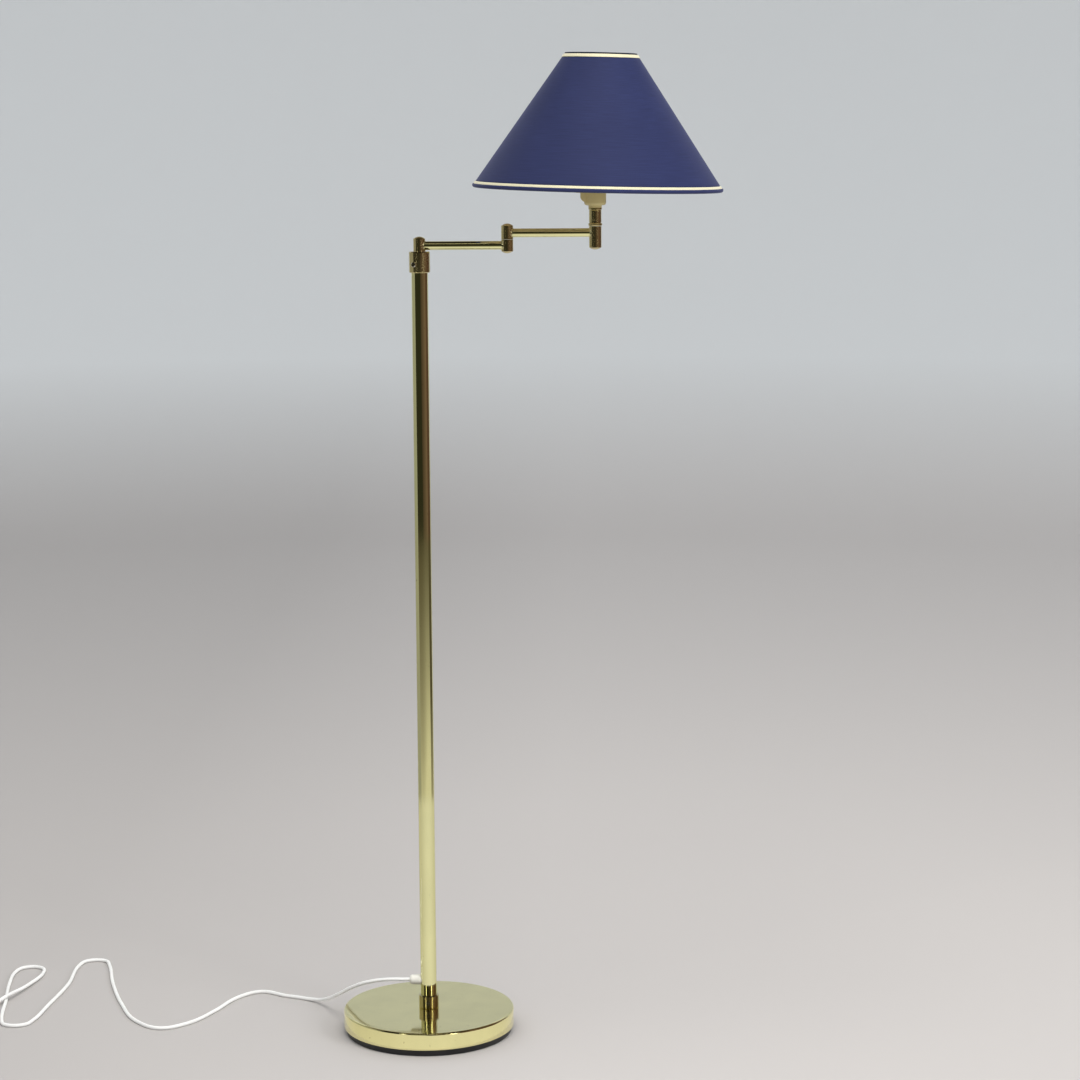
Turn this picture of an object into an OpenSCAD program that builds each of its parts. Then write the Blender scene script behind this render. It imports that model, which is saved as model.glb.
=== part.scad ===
// Bridge floor lamp: round weighted base, telescopic stem, two-link swing arm,
// lampholder with a push switch and a leaning conical cloth shade.
// Millimetres, +Z up. Origin: centre of the underside of the base, on the floor.
// The arms lie along +X in the pose that is drawn.

/* [Base] */
// Diameter of the spun cover
base_d = 230; // [200:1:260]
// Height of the cover's side
cover_h = 23; // [20:0.5:30]
// Sheet thickness of the cover
cover_t = 1.2; // [0.8:0.1:1.6]
// Radius of the cover's upper edge
cover_edge_r = 2.6; // [2:0.1:5]
// How far the black pan stands back from the cover
pan_setback = 3.2; // [2:0.1:5]
// Height of the pan's visible wall
pan_h = 7; // [5:0.5:10]
// Thickness of the pad under the pan
pad_t = 2; // [1:0.5:4]
// Thickness of the iron weight
weight_h = 20; // [12:0.5:20]
// Diameter of the bolt that holds the stem
base_bolt_d = 10; // [8:1:12]

/* [Stem] */
// Outer diameter of the stem tube
stem_d = 22; // [20:0.5:26]
// Wall of the stem tube
stem_t = 1.2; // [1:0.1:1.6]
// Height of the stem tube's upper end above the floor
stem_top = 1046; // [800:1:1300]
// Outer diameter of the foot collar
foot_collar_d = 27; // [26.5:0.5:32]
// Height of the foot collar
foot_collar_h = 18; // [14:0.5:24]
// Height of the cord bush above the floor
cord_z = 70; // [66:1:90]
// Outer diameter of the cord bush
bush_d = 14; // [12:0.5:16]
// How far the cord bush stands out of the stem
bush_len = 14; // [10:0.5:20]
// Diameter of the cord
cord_d = 5; // [4:0.5:6]

/* [Clamp collar] */
// Outer diameter of the clamp collar
clamp_collar_d = 27.6; // [27:0.2:32]
// Height of the clamp collar
clamp_collar_h = 27.4; // [24:0.2:34]
// How far the collar stands above the stem tube
clamp_collar_over = 6; // [5:0.5:10]
// Diameter of the clamp screw's thread
clamp_screw_d = 4; // [3:0.5:5]
// Diameter of the clamp screw's head
clamp_head_d = 6.5; // [5.5:0.5:9]
// Height of the clamp screw's head
clamp_head_h = 3.6; // [2.5:0.1:5]
// Direction of the clamp screw, round from the front towards the left
clamp_turn = 25; // [0:1:60]

/* [Riser] */
// Outer diameter of the riser tube
riser_d = 16; // [15:0.5:17]
// Wall of the riser tube
riser_t = 1.2; // [0.8:0.1:1.4]
// Length of the riser tube
riser_len = 400; // [340:1:460]

/* [Arms] */
// Distance between the pivots of each link
arm_len = 114.5; // [90:0.5:160]
// Outer diameter of the arm tubes
arm_d = 11.4; // [10:0.1:11.6]
// Wall of the arm tubes
arm_t = 1.1; // [0.8:0.1:1.4]
// Outer diameter of the arms' knuckles
knuckle_d = 15.8; // [15:0.1:17]
// Outer diameter of the knuckle under the head
end_knuckle_d = 16.3; // [15.6:0.1:18]
// Height of the end knuckle
end_knuckle_h = 30.3; // [26:0.1:40]
// Thickness of the friction washers in the swivels
washer_t = 0.5; // [0.4:0.1:1]
// Outer diameter of the hollow pivot nipples
nipple_d = 10; // [9:0.5:10]

/* [Neck and lampholder] */
// Height of the turned neck, bead and flange included
neck_h = 23.4; // [18:0.2:40]
// Diameter of the neck's shaft
neck_d = 16.3; // [15:0.1:18]
// Diameter of the bead at the neck's foot
neck_bead_d = 18.2; // [17:0.1:22]
// Diameter of the holder's lower body
holder_low_d = 28.6; // [27:0.2:31]
// Diameter of the holder's upper shell
holder_d = 39; // [38:0.5:42]
// Height from the neck's flange to the shade's seat
seat_h = 37.9; // [36:0.1:44]
// How far the switch housing stands out from the holder's axis
switch_out = 19.2; // [18:0.2:22]
// Diameter of the switch button
button_d = 8; // [6:0.5:9]
// Travel of the switch button
button_travel = 2.5; // [1:0.5:4]
// Diameter of the bulb's glass
bulb_d = 60; // [45:1:70]
// Length of the bulb's glass above its cap
bulb_glass_len = 82; // [70:1:95]

/* [Shade] */
// Outer diameter of the shade's lower rim
shade_low_d = 327; // [280:1:380]
// Outer diameter of the shade's upper rim
shade_top_d = 92; // [80:1:120]
// Height of the shade
shade_h = 174.1; // [150:0.1:200]
// How far the shade's lower rim hangs below its seat
shade_drop = 14.3; // [12:0.1:22]
// Thickness of the laminated cloth
shade_t = 0.8; // [0.5:0.1:1.2]
// Lean of the shade towards the arm's outer end, in degrees
shade_lean = 1.6; // [0:0.1:3]
// How far the shade's seat ring sits off the holder's axis
shade_shift = 2.3; // [0:0.1:2.3]
// How far the shade's frame is bent off its seat ring
frame_bend = 1.4; // [0:0.1:3]
// Diameter of the frame wires
wire_d = 3; // [2.4:0.1:4]
// Width of the gilt trim at the lower rim
low_trim_w = 3.9; // [3:0.1:8]
// Width of the gilt trim at the upper rim
top_trim_w = 4.8; // [3:0.1:8]
// Width of the dark rolled hem below the lower trim
hem_w = 5.1; // [5:0.1:9]

/* [Hidden] */

// --- shared clearances ---
fit = 0.05;          // radial clearance of a shaft in its hole
seat_gap = 0.1;      // radial clearance of a fixed round piece in its seat
free_gap = 0.3;      // clearance between curved faces that only lie near each other
cut = 1;             // how far a cutting tool runs past the face that it cuts
round_fn = 96;
small_fn = 48;

// --- heights of the base ---
pan_top = pad_t + pan_h;
base_top = pan_top + cover_h;
weight_top = base_top - cover_t;
weight_bottom = weight_top - weight_h;
pan_r = base_d / 2 - pan_setback;
cover_lip = 1.4;
pan_floor_t = 2.2;
pan_rim_t = 2.5;
pan_web_t = 2;
pan_hole_r = 22;
weight_r = pan_r - 4;
washer_r = 15;
base_washer_t = 2;
bolt_head_h = 6;
bolt_head_r = 9.8;
pan_screw_r = 60;
pan_screw_d = 4;
pan_screw_head_d = 8;
pan_screw_head_h = 2;
pan_boss_d = 13;
pan_support_r = weight_r - 6;
pan_rib_count = 6;
pan_rib_drop = 1.2;

// --- stem ---
stem_bore = stem_d - 2 * stem_t;
plug_h = 26;
bush_shank_d = 9;
foot_screw_d = 4;
foot_screw_head_d = 5.6;
foot_screw_z = base_top + foot_collar_h * 0.45;

// --- clamp collar ---
collar_top = stem_top + clamp_collar_over;
collar_bottom = collar_top - clamp_collar_h;
collar_lip = 2;
clamp_z = collar_bottom + 11;
liner_len = 42;
liner_top = collar_top - collar_lip - 0.1;

// --- riser, at its lowest ---
riser_top = collar_top - washer_t;
riser_bottom = riser_top - riser_len;
riser_bore = riser_d - 2 * riser_t;
guide_len = 24;
guide_foot = 3;
riser_plug_h = 15;

// --- knuckles and arms ---
knuckle_floor = 3.6;
knuckle_bore = knuckle_d - 2.8;
nipple_bore = 7;
nut_h = 3;
nut_r = 6.2;
cap_spigot = 2.4;
cap_h = 3;
arm_bore = arm_d - 2 * arm_t;
stem_knuckle_z = collar_top;
stem_knuckle_h = 19.5;
arm_1_z = collar_top + 7.5;
mid_low_z = collar_top - 3;
mid_low_h = 18;
mid_split_z = mid_low_z + mid_low_h;
mid_up_z = mid_split_z + washer_t;
mid_up_h = 20.2;
arm_2_z = mid_split_z + 8.4;
mid_x = arm_len;
head_x = 2 * arm_len;
end_top_z = arm_2_z + 8.2;
end_bottom_z = end_top_z - end_knuckle_h;
end_bore = end_knuckle_d - 2.8;

// --- neck and lampholder ---
neck_z = end_top_z + washer_t;
neck_top = neck_z + neck_h;
neck_bead_h = 3.6;
neck_flange_h = 2.6;
neck_flange_d = neck_d + 1.5;
seat_z = neck_top + seat_h;
holder_wall = 2;
holder_split_z = seat_z - 5.5;
holder_flange_t = 2.5;
holder_flange_d = 47;
holder_top = seat_z + 26;
cap_foot_h = 3.2;
cap_floor_t = 2;
cap_floor_z = neck_top + cap_foot_h + cap_floor_t;
ring_t = 2.6;
spoke_d = 2.4;
ring_nut_h = 8;
ring_nut_d = 50;
insert_z = holder_split_z - 4;
insert_h = 8;
insert_core_r = 12.8;
sleeve_r = 13.3;
sleeve_t = 0.6;
core_top = insert_z + insert_h + 6;
button_out = button_travel + 3.5;
button_shoulder_r = button_d / 2 + 1;
button_z = insert_z - free_gap - button_shoulder_r;
switch_w = 17;
switch_corner_r = 7;
bulb_cap_r = 13;
bulb_cap_z = core_top + 0.4;
bulb_cap_h = 24;
bulb_glass_z = bulb_cap_z + bulb_cap_h;

// --- shade, in its own leaning frame whose origin is on the seat ---
low_r = shade_low_d / 2;
top_r = shade_top_d / 2;
rim_z = -shade_drop;
shade_top_z = rim_z + shade_h;
slope = (top_r - low_r) / shade_h;
slant = sqrt(1 + slope * slope);
face_turn = atan(-slope);
frame_x = head_x + shade_shift + frame_bend;
skin_w = shade_t * slant;
trim_t = 0.7;
trim_gap = 0.05;
hem_t = 0.6;
wire_r = wire_d / 2;
top_trim_drop = 2.3;
roll_steps = 9;
low_wire_z = rim_z + hem_t + free_gap + wire_r;
low_wire_r = radius_at(low_wire_z) - skin_w - free_gap - wire_r * slant;
top_wire_z = shade_top_z - wire_r - 1.2;
top_wire_r = radius_at(top_wire_z) - skin_w - free_gap - wire_r * slant;
spider_ring_r = 22;
spider_ring_w = 4;
spoke_count = 3;
spoke_turn = 90;

// Outer radius of the shade's cloth at a height in the shade's frame
function radius_at(z) = low_r + (z - rim_z) * slope;

// The hem rolls round the rim on this circle, below where the cloth ends
roll_r = min(low_wire_z - rim_z, (hem_w / slant - 0.3) / (1 + sin(face_turn)));
roll_z = rim_z + roll_r;
roll_x = radius_at(roll_z) + (trim_gap + hem_t - roll_r) * slant;
cloth_low_z = roll_z + (roll_r - hem_t) * sin(face_turn) + 0.1;

// A point of the shade's leaning frame, in the frame of the lamp
function from_shade(p) = [
    frame_x + p[0] * cos(shade_lean) + p[2] * sin(shade_lean),
    p[1],
    seat_z + p[2] * cos(shade_lean) - p[0] * sin(shade_lean)];

// --- colours ---
brass = [0.80, 0.72, 0.52];
steel = [0.66, 0.66, 0.68];
iron = [0.25, 0.25, 0.27];
black = [0.07, 0.07, 0.08];
nylon = [0.90, 0.89, 0.84];
cream = [0.86, 0.81, 0.62];
white = [0.93, 0.93, 0.91];
navy = [0.20, 0.24, 0.42];
gilt = [0.88, 0.80, 0.55];

// --- cord route ---
// Centre line from the bush to the coil: down to the floor beside the base, along the
// floor, over itself in a long low hump, and on to the coil.
floor_z = cord_d / 2;
over_z = cord_d * 1.5 + 0.8;
bush_tip = -stem_d / 2 - bush_len;
coil_x = -705;
coil_y = 30;
coil_pitch = 5.8;
coil_layer = 5.7;
coil_loops_per_layer = 2;
coil_out_r = 34;
coil_rings = 24;
coil_sides = 6;
cord_sides = 8;
coil_in_x = coil_x + coil_out_r;

stretch_route = [
    [bush_tip, 0, cord_z], [-32, 0, cord_z], [-62, 2, 69], [-88, 10, 62], [-108, 26, 50],
    [-126, 50, 34], [-143, 80, 18], [-160, 108, 6], [-180, 124, floor_z],
    [-212, 138, floor_z], [-247, 156, floor_z], [-277, 130, floor_z], [-300, 74, floor_z],
    [-330, 18, floor_z], [-366, -5, floor_z], [-404, 26, floor_z], [-435, 96, floor_z],
    [-464, 190, floor_z], [-486, 284, floor_z], [-492, 299, floor_z], [-507, 305, floor_z],
    [-522, 299, floor_z], [-528, 284, floor_z], [-528, 190, floor_z], [-538, 96, floor_z],
    [-547, 26, floor_z], [-553, 11, floor_z], [-568, 5, floor_z], [-583, 11, floor_z],
    [-589, 26, floor_z], [-602, 115, floor_z], [-613, 190, floor_z], [-615, 252, floor_z],
    [-609, 266, floor_z], [-595, 272, floor_z], [-581, 266, floor_z], [-575, 252, floor_z],
    [-586, 172, 4.6], [-601, 118, over_z], [-617, 86, 5], [-640, 72, floor_z],
    [-657, 65, floor_z], [-667, 54, floor_z], [coil_in_x, 42, floor_z],
    [coil_in_x, coil_y + cord_d, floor_z]];

tail_route = [
    [coil_in_x, coil_y - cord_d, floor_z + coil_layer], [coil_in_x, 18, floor_z + coil_layer],
    [-672, 2, 5], [-674, -18, 3], [-676, -36, 4], [-677, -50, 7], [-677, -55, 7]];
plug_x = -677;
plug_y = -55;
plug_z = 7;
plug_len = 42;
plug_w = 35.2;
plug_thick = 13.8;
pin_pitch = 18.6;
pin_d = 4;
pin_core_d = 3;
pin_len = 19;
pin_root = 8;
pin_sleeve_d = 3.6;
pin_sleeve_len = 10;

// --- small helpers ---
module ring(outer_d, inner_d, h) {
    difference() {
        cylinder(d = outer_d, h = h, $fn = round_fn);
        translate([0, 0, -cut]) cylinder(d = inner_d, h = h + 2 * cut, $fn = round_fn);
    }
}

// A turned sleeve with both outer edges chamfered
module chamfered_sleeve(outer_d, h, edge) {
    r = outer_d / 2;
    rotate_extrude($fn = round_fn)
        polygon([[0, 0], [r - edge, 0], [r, edge], [r, h - edge], [r - edge, h], [0, h]]);
}

// Local +Z of what follows points level, towards the given turn from the front
module facing_front(turn, z) {
    translate([0, 0, z]) rotate([0, 0, -turn]) rotate([90, 0, 0]) children();
}

// A slotted screw along +Z: shank from z = shank_start to head_z, head above it
module slotted_screw(shank_d, shank_start, head_z, head_d, head_h) {
    edge = head_h * 0.18;
    slot_w = head_d * 0.16;
    slot_depth = head_h * 0.4;
    translate([0, 0, shank_start]) cylinder(d = shank_d, h = head_z - shank_start, $fn = small_fn);
    translate([0, 0, head_z]) difference() {
        chamfer_head(head_d, head_h, edge);
        translate([-head_d, -slot_w / 2, head_h - slot_depth])
            cube([2 * head_d, slot_w, slot_depth + cut]);
    }
}

module chamfer_head(d, h, edge) {
    rotate_extrude($fn = small_fn)
        polygon([[0, 0], [d / 2, 0], [d / 2, h - edge], [d / 2 - edge, h], [0, h]]);
}

module hex_nut(h) {
    difference() {
        cylinder(r = nut_r, h = h, $fn = 6);
        translate([0, 0, -cut]) cylinder(d = nipple_d + 2 * fit, h = h + 2 * cut, $fn = small_fn);
    }
}

module nipple(z0, z1) {
    translate([0, 0, z0]) ring(nipple_d, nipple_bore, z1 - z0);
}

// A round bar between two points
module bar(a, b, d) {
    v = b - a;
    len = norm(v);
    translate(a)
        rotate([0, acos(v[2] / len), atan2(v[1], v[0])])
            cylinder(d = d, h = len, $fn = 32);
}

// --- base ---
module base_pad() {
    color(black) cylinder(r = pan_r - 0.6, h = pad_t, $fn = round_fn);
}

module base_pan() {
    color(black) difference() {
        union() {
            translate([0, 0, pad_t]) difference() {
                cylinder(r = pan_r, h = pan_h, $fn = round_fn);
                translate([0, 0, pan_floor_t])
                    cylinder(r = pan_r - pan_rim_t, h = pan_h, $fn = round_fn);
            }
            translate([0, 0, pad_t + 1])
                ring(2 * pan_support_r, 2 * (pan_support_r - pan_web_t),
                    weight_bottom - pad_t - 1);
            translate([0, 0, pad_t])
                cylinder(r = pan_hole_r + pan_web_t, h = weight_bottom - pad_t, $fn = round_fn);
            for (i = [0 : pan_rib_count - 1])
                rotate([0, 0, i * 360 / pan_rib_count + 30])
                    translate([pan_hole_r + 1, -pan_web_t / 2, pad_t + 1])
                        cube([pan_support_r - pan_hole_r - 2, pan_web_t,
                            weight_bottom - pad_t - 1 - pan_rib_drop]);
            pan_screw_places()
                translate([0, 0, pad_t]) cylinder(d = pan_boss_d, h = weight_bottom - pad_t,
                    $fn = small_fn);
        }
        cylinder(r = pan_hole_r, h = weight_bottom + cut, $fn = round_fn);
        pan_screw_places() {
            cylinder(d = pan_screw_d + 2 * free_gap, h = weight_bottom + cut, $fn = small_fn);
            cylinder(d = pan_screw_head_d + 2 * free_gap, h = pad_t + 3, $fn = small_fn);
        }
    }
}

module pan_screw_places() {
    for (i = [0 : 2])
        rotate([0, 0, i * 120 + 90]) translate([pan_screw_r, 0, 0]) children();
}

module pan_screws() {
    color(steel) pan_screw_places()
        translate([0, 0, pad_t + 3]) {
            translate([0, 0, -pan_screw_head_h])
                cylinder(d = pan_screw_head_d, h = pan_screw_head_h, $fn = small_fn);
            cylinder(d = pan_screw_d, h = weight_bottom - pad_t - 3 + 8, $fn = small_fn);
        }
}

module base_weight() {
    color(iron) translate([0, 0, weight_bottom]) difference() {
        rotate_extrude($fn = round_fn)
            polygon([[0, 0], [weight_r - 2, 0], [weight_r, 2], [weight_r, weight_h - 3],
                [weight_r - 3, weight_h], [0, weight_h]]);
        translate([0, 0, -cut])
            cylinder(d = base_bolt_d + 1, h = weight_h + 2 * cut, $fn = small_fn);
        pan_screw_places() translate([0, 0, -cut])
            cylinder(d = pan_screw_d + 2 * fit, h = 9 + cut, $fn = small_fn);
    }
}

module base_bolt() {
    head_z = weight_bottom - base_washer_t - bolt_head_h;
    color(steel) {
        translate([0, 0, head_z]) cylinder(r = bolt_head_r, h = bolt_head_h, $fn = 6);
        translate([0, 0, head_z + bolt_head_h])
            cylinder(d = base_bolt_d, h = base_top + plug_h - 5 - head_z - bolt_head_h,
                $fn = small_fn);
    }
}

module base_washer() {
    color(steel) translate([0, 0, weight_bottom - base_washer_t])
        ring(2 * washer_r, base_bolt_d + 0.8, base_washer_t);
}

// Half section of the cover's outer form, moved inwards by inset
module cover_outline(inset) {
    r = base_d / 2 - inset;
    edge_r = cover_edge_r - inset;
    edge_z = base_top - cover_edge_r;
    translate([0, pan_top]) square([r, edge_z - pan_top]);
    translate([0, pan_top]) square([base_d / 2 - cover_edge_r, cover_h - inset]);
    translate([base_d / 2 - cover_edge_r, edge_z]) circle(r = edge_r, $fn = small_fn);
}

// Spun shell: flat top, rounded upper edge, straight side, edge turned in at the foot
module base_cover() {
    color(brass) difference() {
        rotate_extrude($fn = 160) intersection() {
            difference() {
                cover_outline(0);
                difference() {
                    cover_outline(cover_t);
                    translate([0, pan_top - cut]) square([base_d, cover_t + cut]);
                }
                translate([0, pan_top - cut])
                    square([base_d / 2 - cover_t - cover_lip, cover_t + 2 * cut]);
            }
            translate([0, pan_top]) square([base_d, cover_h]);
        }
        translate([0, 0, base_top - cover_t - cut])
            cylinder(d = base_bolt_d + 0.8, h = cover_t + 2 * cut, $fn = small_fn);
    }
}

// --- stem ---
module foot_collar() {
    color(brass) difference() {
        translate([0, 0, base_top]) chamfered_sleeve(foot_collar_d, foot_collar_h, 1.2);
        translate([0, 0, base_top - cut])
            cylinder(d = stem_d + 2 * seat_gap, h = foot_collar_h + 2 * cut, $fn = round_fn);
        facing_front(0, foot_screw_z)
            cylinder(d = foot_screw_d + 2 * fit, h = foot_collar_d, $fn = small_fn);
    }
}

module foot_collar_screw() {
    color(steel) facing_front(0, foot_screw_z)
        slotted_screw(foot_screw_d, stem_d / 2 + seat_gap, foot_collar_d / 2 + fit,
            foot_screw_head_d, 1.4);
}

module stem_foot_plug() {
    color(steel) translate([0, 0, base_top]) difference() {
        chamfered_sleeve(stem_bore - 2 * seat_gap, plug_h, 0.6);
        translate([0, 0, -cut])
            cylinder(d = base_bolt_d + 2 * fit, h = plug_h - 4 + cut, $fn = small_fn);
    }
}

module stem_tube() {
    color(brass) difference() {
        translate([0, 0, base_top]) cylinder(d = stem_d, h = stem_top - base_top, $fn = round_fn);
        translate([0, 0, base_top - cut])
            cylinder(d = stem_bore, h = stem_top - base_top + 2 * cut, $fn = round_fn);
        translate([-stem_d, 0, cord_z]) rotate([0, 90, 0])
            cylinder(d = bush_shank_d + 2 * seat_gap, h = stem_d, $fn = small_fn);
        facing_front(clamp_turn, clamp_z)
            cylinder(d = clamp_screw_d + 2 * free_gap, h = stem_d, $fn = small_fn);
    }
}

// The flex lies along the stem's wall, from the bush up to the riser
module stem_lead() {
    lead_x = -stem_bore / 2 + cord_d / 2 + free_gap;
    low = cord_z - 4;
    color(white) translate([lead_x, 0, low])
        cylinder(d = cord_d, h = riser_bottom - 3 - guide_foot - low, $fn = small_fn);
}

module cord_bush() {
    inner_x = -stem_bore / 2 + 0.1;
    lip_x = -stem_d / 2 - 0.6;
    color(white) translate([0, 0, cord_z]) rotate([0, -90, 0]) {
        rotate_extrude($fn = small_fn)
            polygon([[0, -inner_x], [bush_shank_d / 2, -inner_x], [bush_shank_d / 2, -lip_x],
                [0, -lip_x]]);
        difference() {
            rotate_extrude($fn = small_fn)
                polygon([[0, stem_d / 2 - 3], [bush_d / 2 - 1, stem_d / 2 - 3],
                    [bush_d / 2, stem_d / 2 + 1], [bush_d / 2 - 0.6, -bush_tip - 2],
                    [bush_d / 2 - 2.2, -bush_tip], [0, -bush_tip]]);
            translate([-bush_d, 0, 0]) rotate([0, 90, 0])
                cylinder(d = stem_d + 2 * seat_gap, h = 2 * bush_d, $fn = round_fn);
        }
    }
}

// --- clamp collar ---
module clamp_collar() {
    color(brass) difference() {
        translate([0, 0, collar_bottom]) chamfered_sleeve(clamp_collar_d, clamp_collar_h, 0.9);
        translate([0, 0, collar_bottom - cut])
            cylinder(d = stem_d + 2 * seat_gap, h = stem_top - collar_bottom + cut,
                $fn = round_fn);
        translate([0, 0, stem_top - cut])
            cylinder(d = stem_bore, h = collar_top - collar_lip - stem_top + cut,
                $fn = round_fn);
        translate([0, 0, stem_top])
            cylinder(d = riser_d + 2 * free_gap, h = clamp_collar_over + cut, $fn = round_fn);
        facing_front(clamp_turn, clamp_z)
            cylinder(d = clamp_screw_d + 2 * fit, h = clamp_collar_d, $fn = small_fn);
    }
}

// Nylon sleeve that guides the riser in the stem's upper end
module collar_liner() {
    color(nylon) difference() {
        translate([0, 0, liner_top - liner_len])
            ring(stem_bore - 2 * seat_gap, riser_d + 2 * fit, liner_len);
        facing_front(clamp_turn, clamp_z)
            cylinder(d = clamp_screw_d + 2 * free_gap, h = stem_d, $fn = small_fn);
    }
}

module clamp_screw() {
    color(steel) facing_front(clamp_turn, clamp_z)
        slotted_screw(clamp_screw_d, riser_d / 2 + free_gap, clamp_collar_d / 2 + 0.15,
            clamp_head_d, clamp_head_h);
}

// --- riser ---
module riser_tube() {
    color(brass) translate([0, 0, riser_bottom]) ring(riser_d, riser_bore, riser_len);
}

// Nylon foot on the riser's lower end: it runs in the stem's bore and carries the tube's end
module riser_guide() {
    color(nylon) difference() {
        translate([0, 0, riser_bottom - guide_foot])
            chamfered_sleeve(stem_bore - 2 * fit, guide_len + guide_foot, 0.6);
        translate([0, 0, riser_bottom])
            cylinder(d = riser_d + 2 * seat_gap, h = guide_len + cut, $fn = round_fn);
        translate([0, 0, riser_bottom - guide_foot - cut])
            cylinder(d = riser_bore, h = guide_foot + 2 * cut, $fn = round_fn);
    }
}

// Plug in the riser's upper end, turned in one piece with the hollow spigot above it
module riser_plug() {
    color(steel) translate([0, 0, riser_top - riser_plug_h]) difference() {
        union() {
            cylinder(d = riser_bore - 2 * seat_gap, h = riser_plug_h, $fn = round_fn);
            cylinder(d = nipple_d, h = riser_plug_h + washer_t + knuckle_floor + nut_h + 0.4,
                $fn = round_fn);
        }
        translate([0, 0, -cut])
            cylinder(d = nipple_bore, h = riser_plug_h + 4 * nut_h, $fn = round_fn);
    }
}

module riser_nut() {
    color(steel) translate([0, 0, stem_knuckle_z + knuckle_floor + fit]) hex_nut(nut_h - fit);
}

module riser_washer() {
    color(nylon) translate([0, 0, riser_top])
        ring(riser_d - 1, nipple_d + 2 * free_gap, washer_t);
}

module riser_lead() {
    lead_x = -riser_bore / 2 + cord_d / 2 + free_gap;
    color(white) translate([lead_x, 0, riser_bottom])
        cylinder(d = cord_d, h = riser_len - riser_plug_h, $fn = small_fn);
}

// --- knuckles ---
// A hollow knuckle: floor_low or floor_high is the bearing floor that the nipple passes
module knuckle(d, bore, z, h, floor_low) {
    floor_z = floor_low ? z : z + h - knuckle_floor;
    open_z = floor_low ? z + knuckle_floor : z - cut;
    difference() {
        translate([0, 0, z]) cylinder(d = d, h = h, $fn = round_fn);
        translate([0, 0, open_z]) cylinder(d = bore, h = h - knuckle_floor + cut, $fn = round_fn);
        translate([0, 0, floor_z - cut])
            cylinder(d = nipple_d + 2 * fit, h = knuckle_floor + 2 * cut, $fn = round_fn);
    }
}

// The side hole that an arm tube is brazed into; side is 1 towards +X and -1 towards -X
module arm_socket(z, side) {
    translate([side * (nipple_d / 2 + 0.4), 0, z]) rotate([0, side * 90, 0])
        cylinder(d = arm_d + 2 * seat_gap, h = knuckle_d, $fn = round_fn);
}

// A domed cap with a spigot; it closes a knuckle whose open end is at z = 0
module dome_cap(d, bore, h) {
    dome_r = (d * d / 4 + h * h) / (2 * h);
    spigot_d = bore - 2 * seat_gap;
    intersection() {
        translate([0, 0, h - dome_r]) sphere(r = dome_r, $fn = round_fn);
        cylinder(d = d - 0.2, h = h + cut, $fn = round_fn);
    }
    translate([0, 0, -cap_spigot]) ring(spigot_d, spigot_d - 2, cap_spigot);
}

module stem_knuckle() {
    color(brass) difference() {
        knuckle(knuckle_d, knuckle_bore, stem_knuckle_z, stem_knuckle_h - cap_h, true);
        arm_socket(arm_1_z, 1);
    }
}

module stem_knuckle_cap() {
    color(brass) translate([0, 0, stem_knuckle_z + stem_knuckle_h - cap_h])
        dome_cap(knuckle_d, knuckle_bore, cap_h);
}

module arm_tube(x, z) {
    wall_x = knuckle_bore / 2 + 0.4;
    translate([x + wall_x, 0, z]) rotate([0, 90, 0]) ring(arm_d, arm_bore, arm_len - 2 * wall_x);
}

module arm_lead(x, z) {
    lead_z = z - arm_bore / 2 + cord_d / 2 + free_gap;
    start = knuckle_d / 2 + 1;
    color(white) translate([x + start, 0, lead_z]) rotate([0, 90, 0])
        cylinder(d = cord_d, h = arm_len - 2 * start, $fn = small_fn);
}

module arm_1_tube() {
    color(brass) arm_tube(0, arm_1_z);
}

module arm_1_lead() {
    arm_lead(0, arm_1_z);
}

module mid_knuckle_lower() {
    color(brass) translate([mid_x, 0, 0]) difference() {
        knuckle(knuckle_d, knuckle_bore, mid_low_z + cap_h, mid_low_h - cap_h, false);
        arm_socket(arm_1_z, -1);
    }
}

module mid_cap_lower() {
    color(brass) translate([mid_x, 0, mid_low_z + cap_h]) mirror([0, 0, 1])
        dome_cap(knuckle_d, knuckle_bore, cap_h);
}

module mid_nipple() {
    color(steel) translate([mid_x, 0, 0])
        nipple(mid_split_z - knuckle_floor - nut_h, mid_up_z + knuckle_floor + nut_h);
}

module mid_nuts() {
    color(steel) translate([mid_x, 0, 0]) {
        translate([0, 0, mid_split_z - knuckle_floor - nut_h]) hex_nut(nut_h);
        translate([0, 0, mid_up_z + knuckle_floor + fit]) hex_nut(nut_h - fit);
    }
}

module mid_washer() {
    color(nylon) translate([mid_x, 0, mid_split_z])
        ring(knuckle_d - 1, nipple_d + 2 * free_gap, washer_t);
}

module mid_knuckle_upper() {
    color(brass) translate([mid_x, 0, 0]) difference() {
        knuckle(knuckle_d, knuckle_bore, mid_up_z, mid_up_h - cap_h, true);
        arm_socket(arm_2_z, 1);
    }
}

module mid_cap_upper() {
    color(brass) translate([mid_x, 0, mid_up_z + mid_up_h - cap_h])
        dome_cap(knuckle_d, knuckle_bore, cap_h);
}

module arm_2_tube() {
    color(brass) arm_tube(mid_x, arm_2_z);
}

module arm_2_lead() {
    arm_lead(mid_x, arm_2_z);
}

module end_knuckle() {
    color(brass) translate([head_x, 0, 0]) difference() {
        knuckle(end_knuckle_d, end_bore, end_bottom_z + cap_h, end_knuckle_h - cap_h, false);
        arm_socket(arm_2_z, -1);
    }
}

module end_cap() {
    color(brass) translate([head_x, 0, end_bottom_z + cap_h]) mirror([0, 0, 1])
        dome_cap(end_knuckle_d, end_bore, cap_h);
}

module end_washer() {
    color(nylon) translate([head_x, 0, end_top_z])
        ring(end_knuckle_d - 1, nipple_d + 2 * free_gap, washer_t);
}

// --- head ---
module head_nipple() {
    color(steel) translate([head_x, 0, 0])
        nipple(end_top_z - knuckle_floor - nut_h, cap_floor_z + nut_h + 0.4);
}

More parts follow.
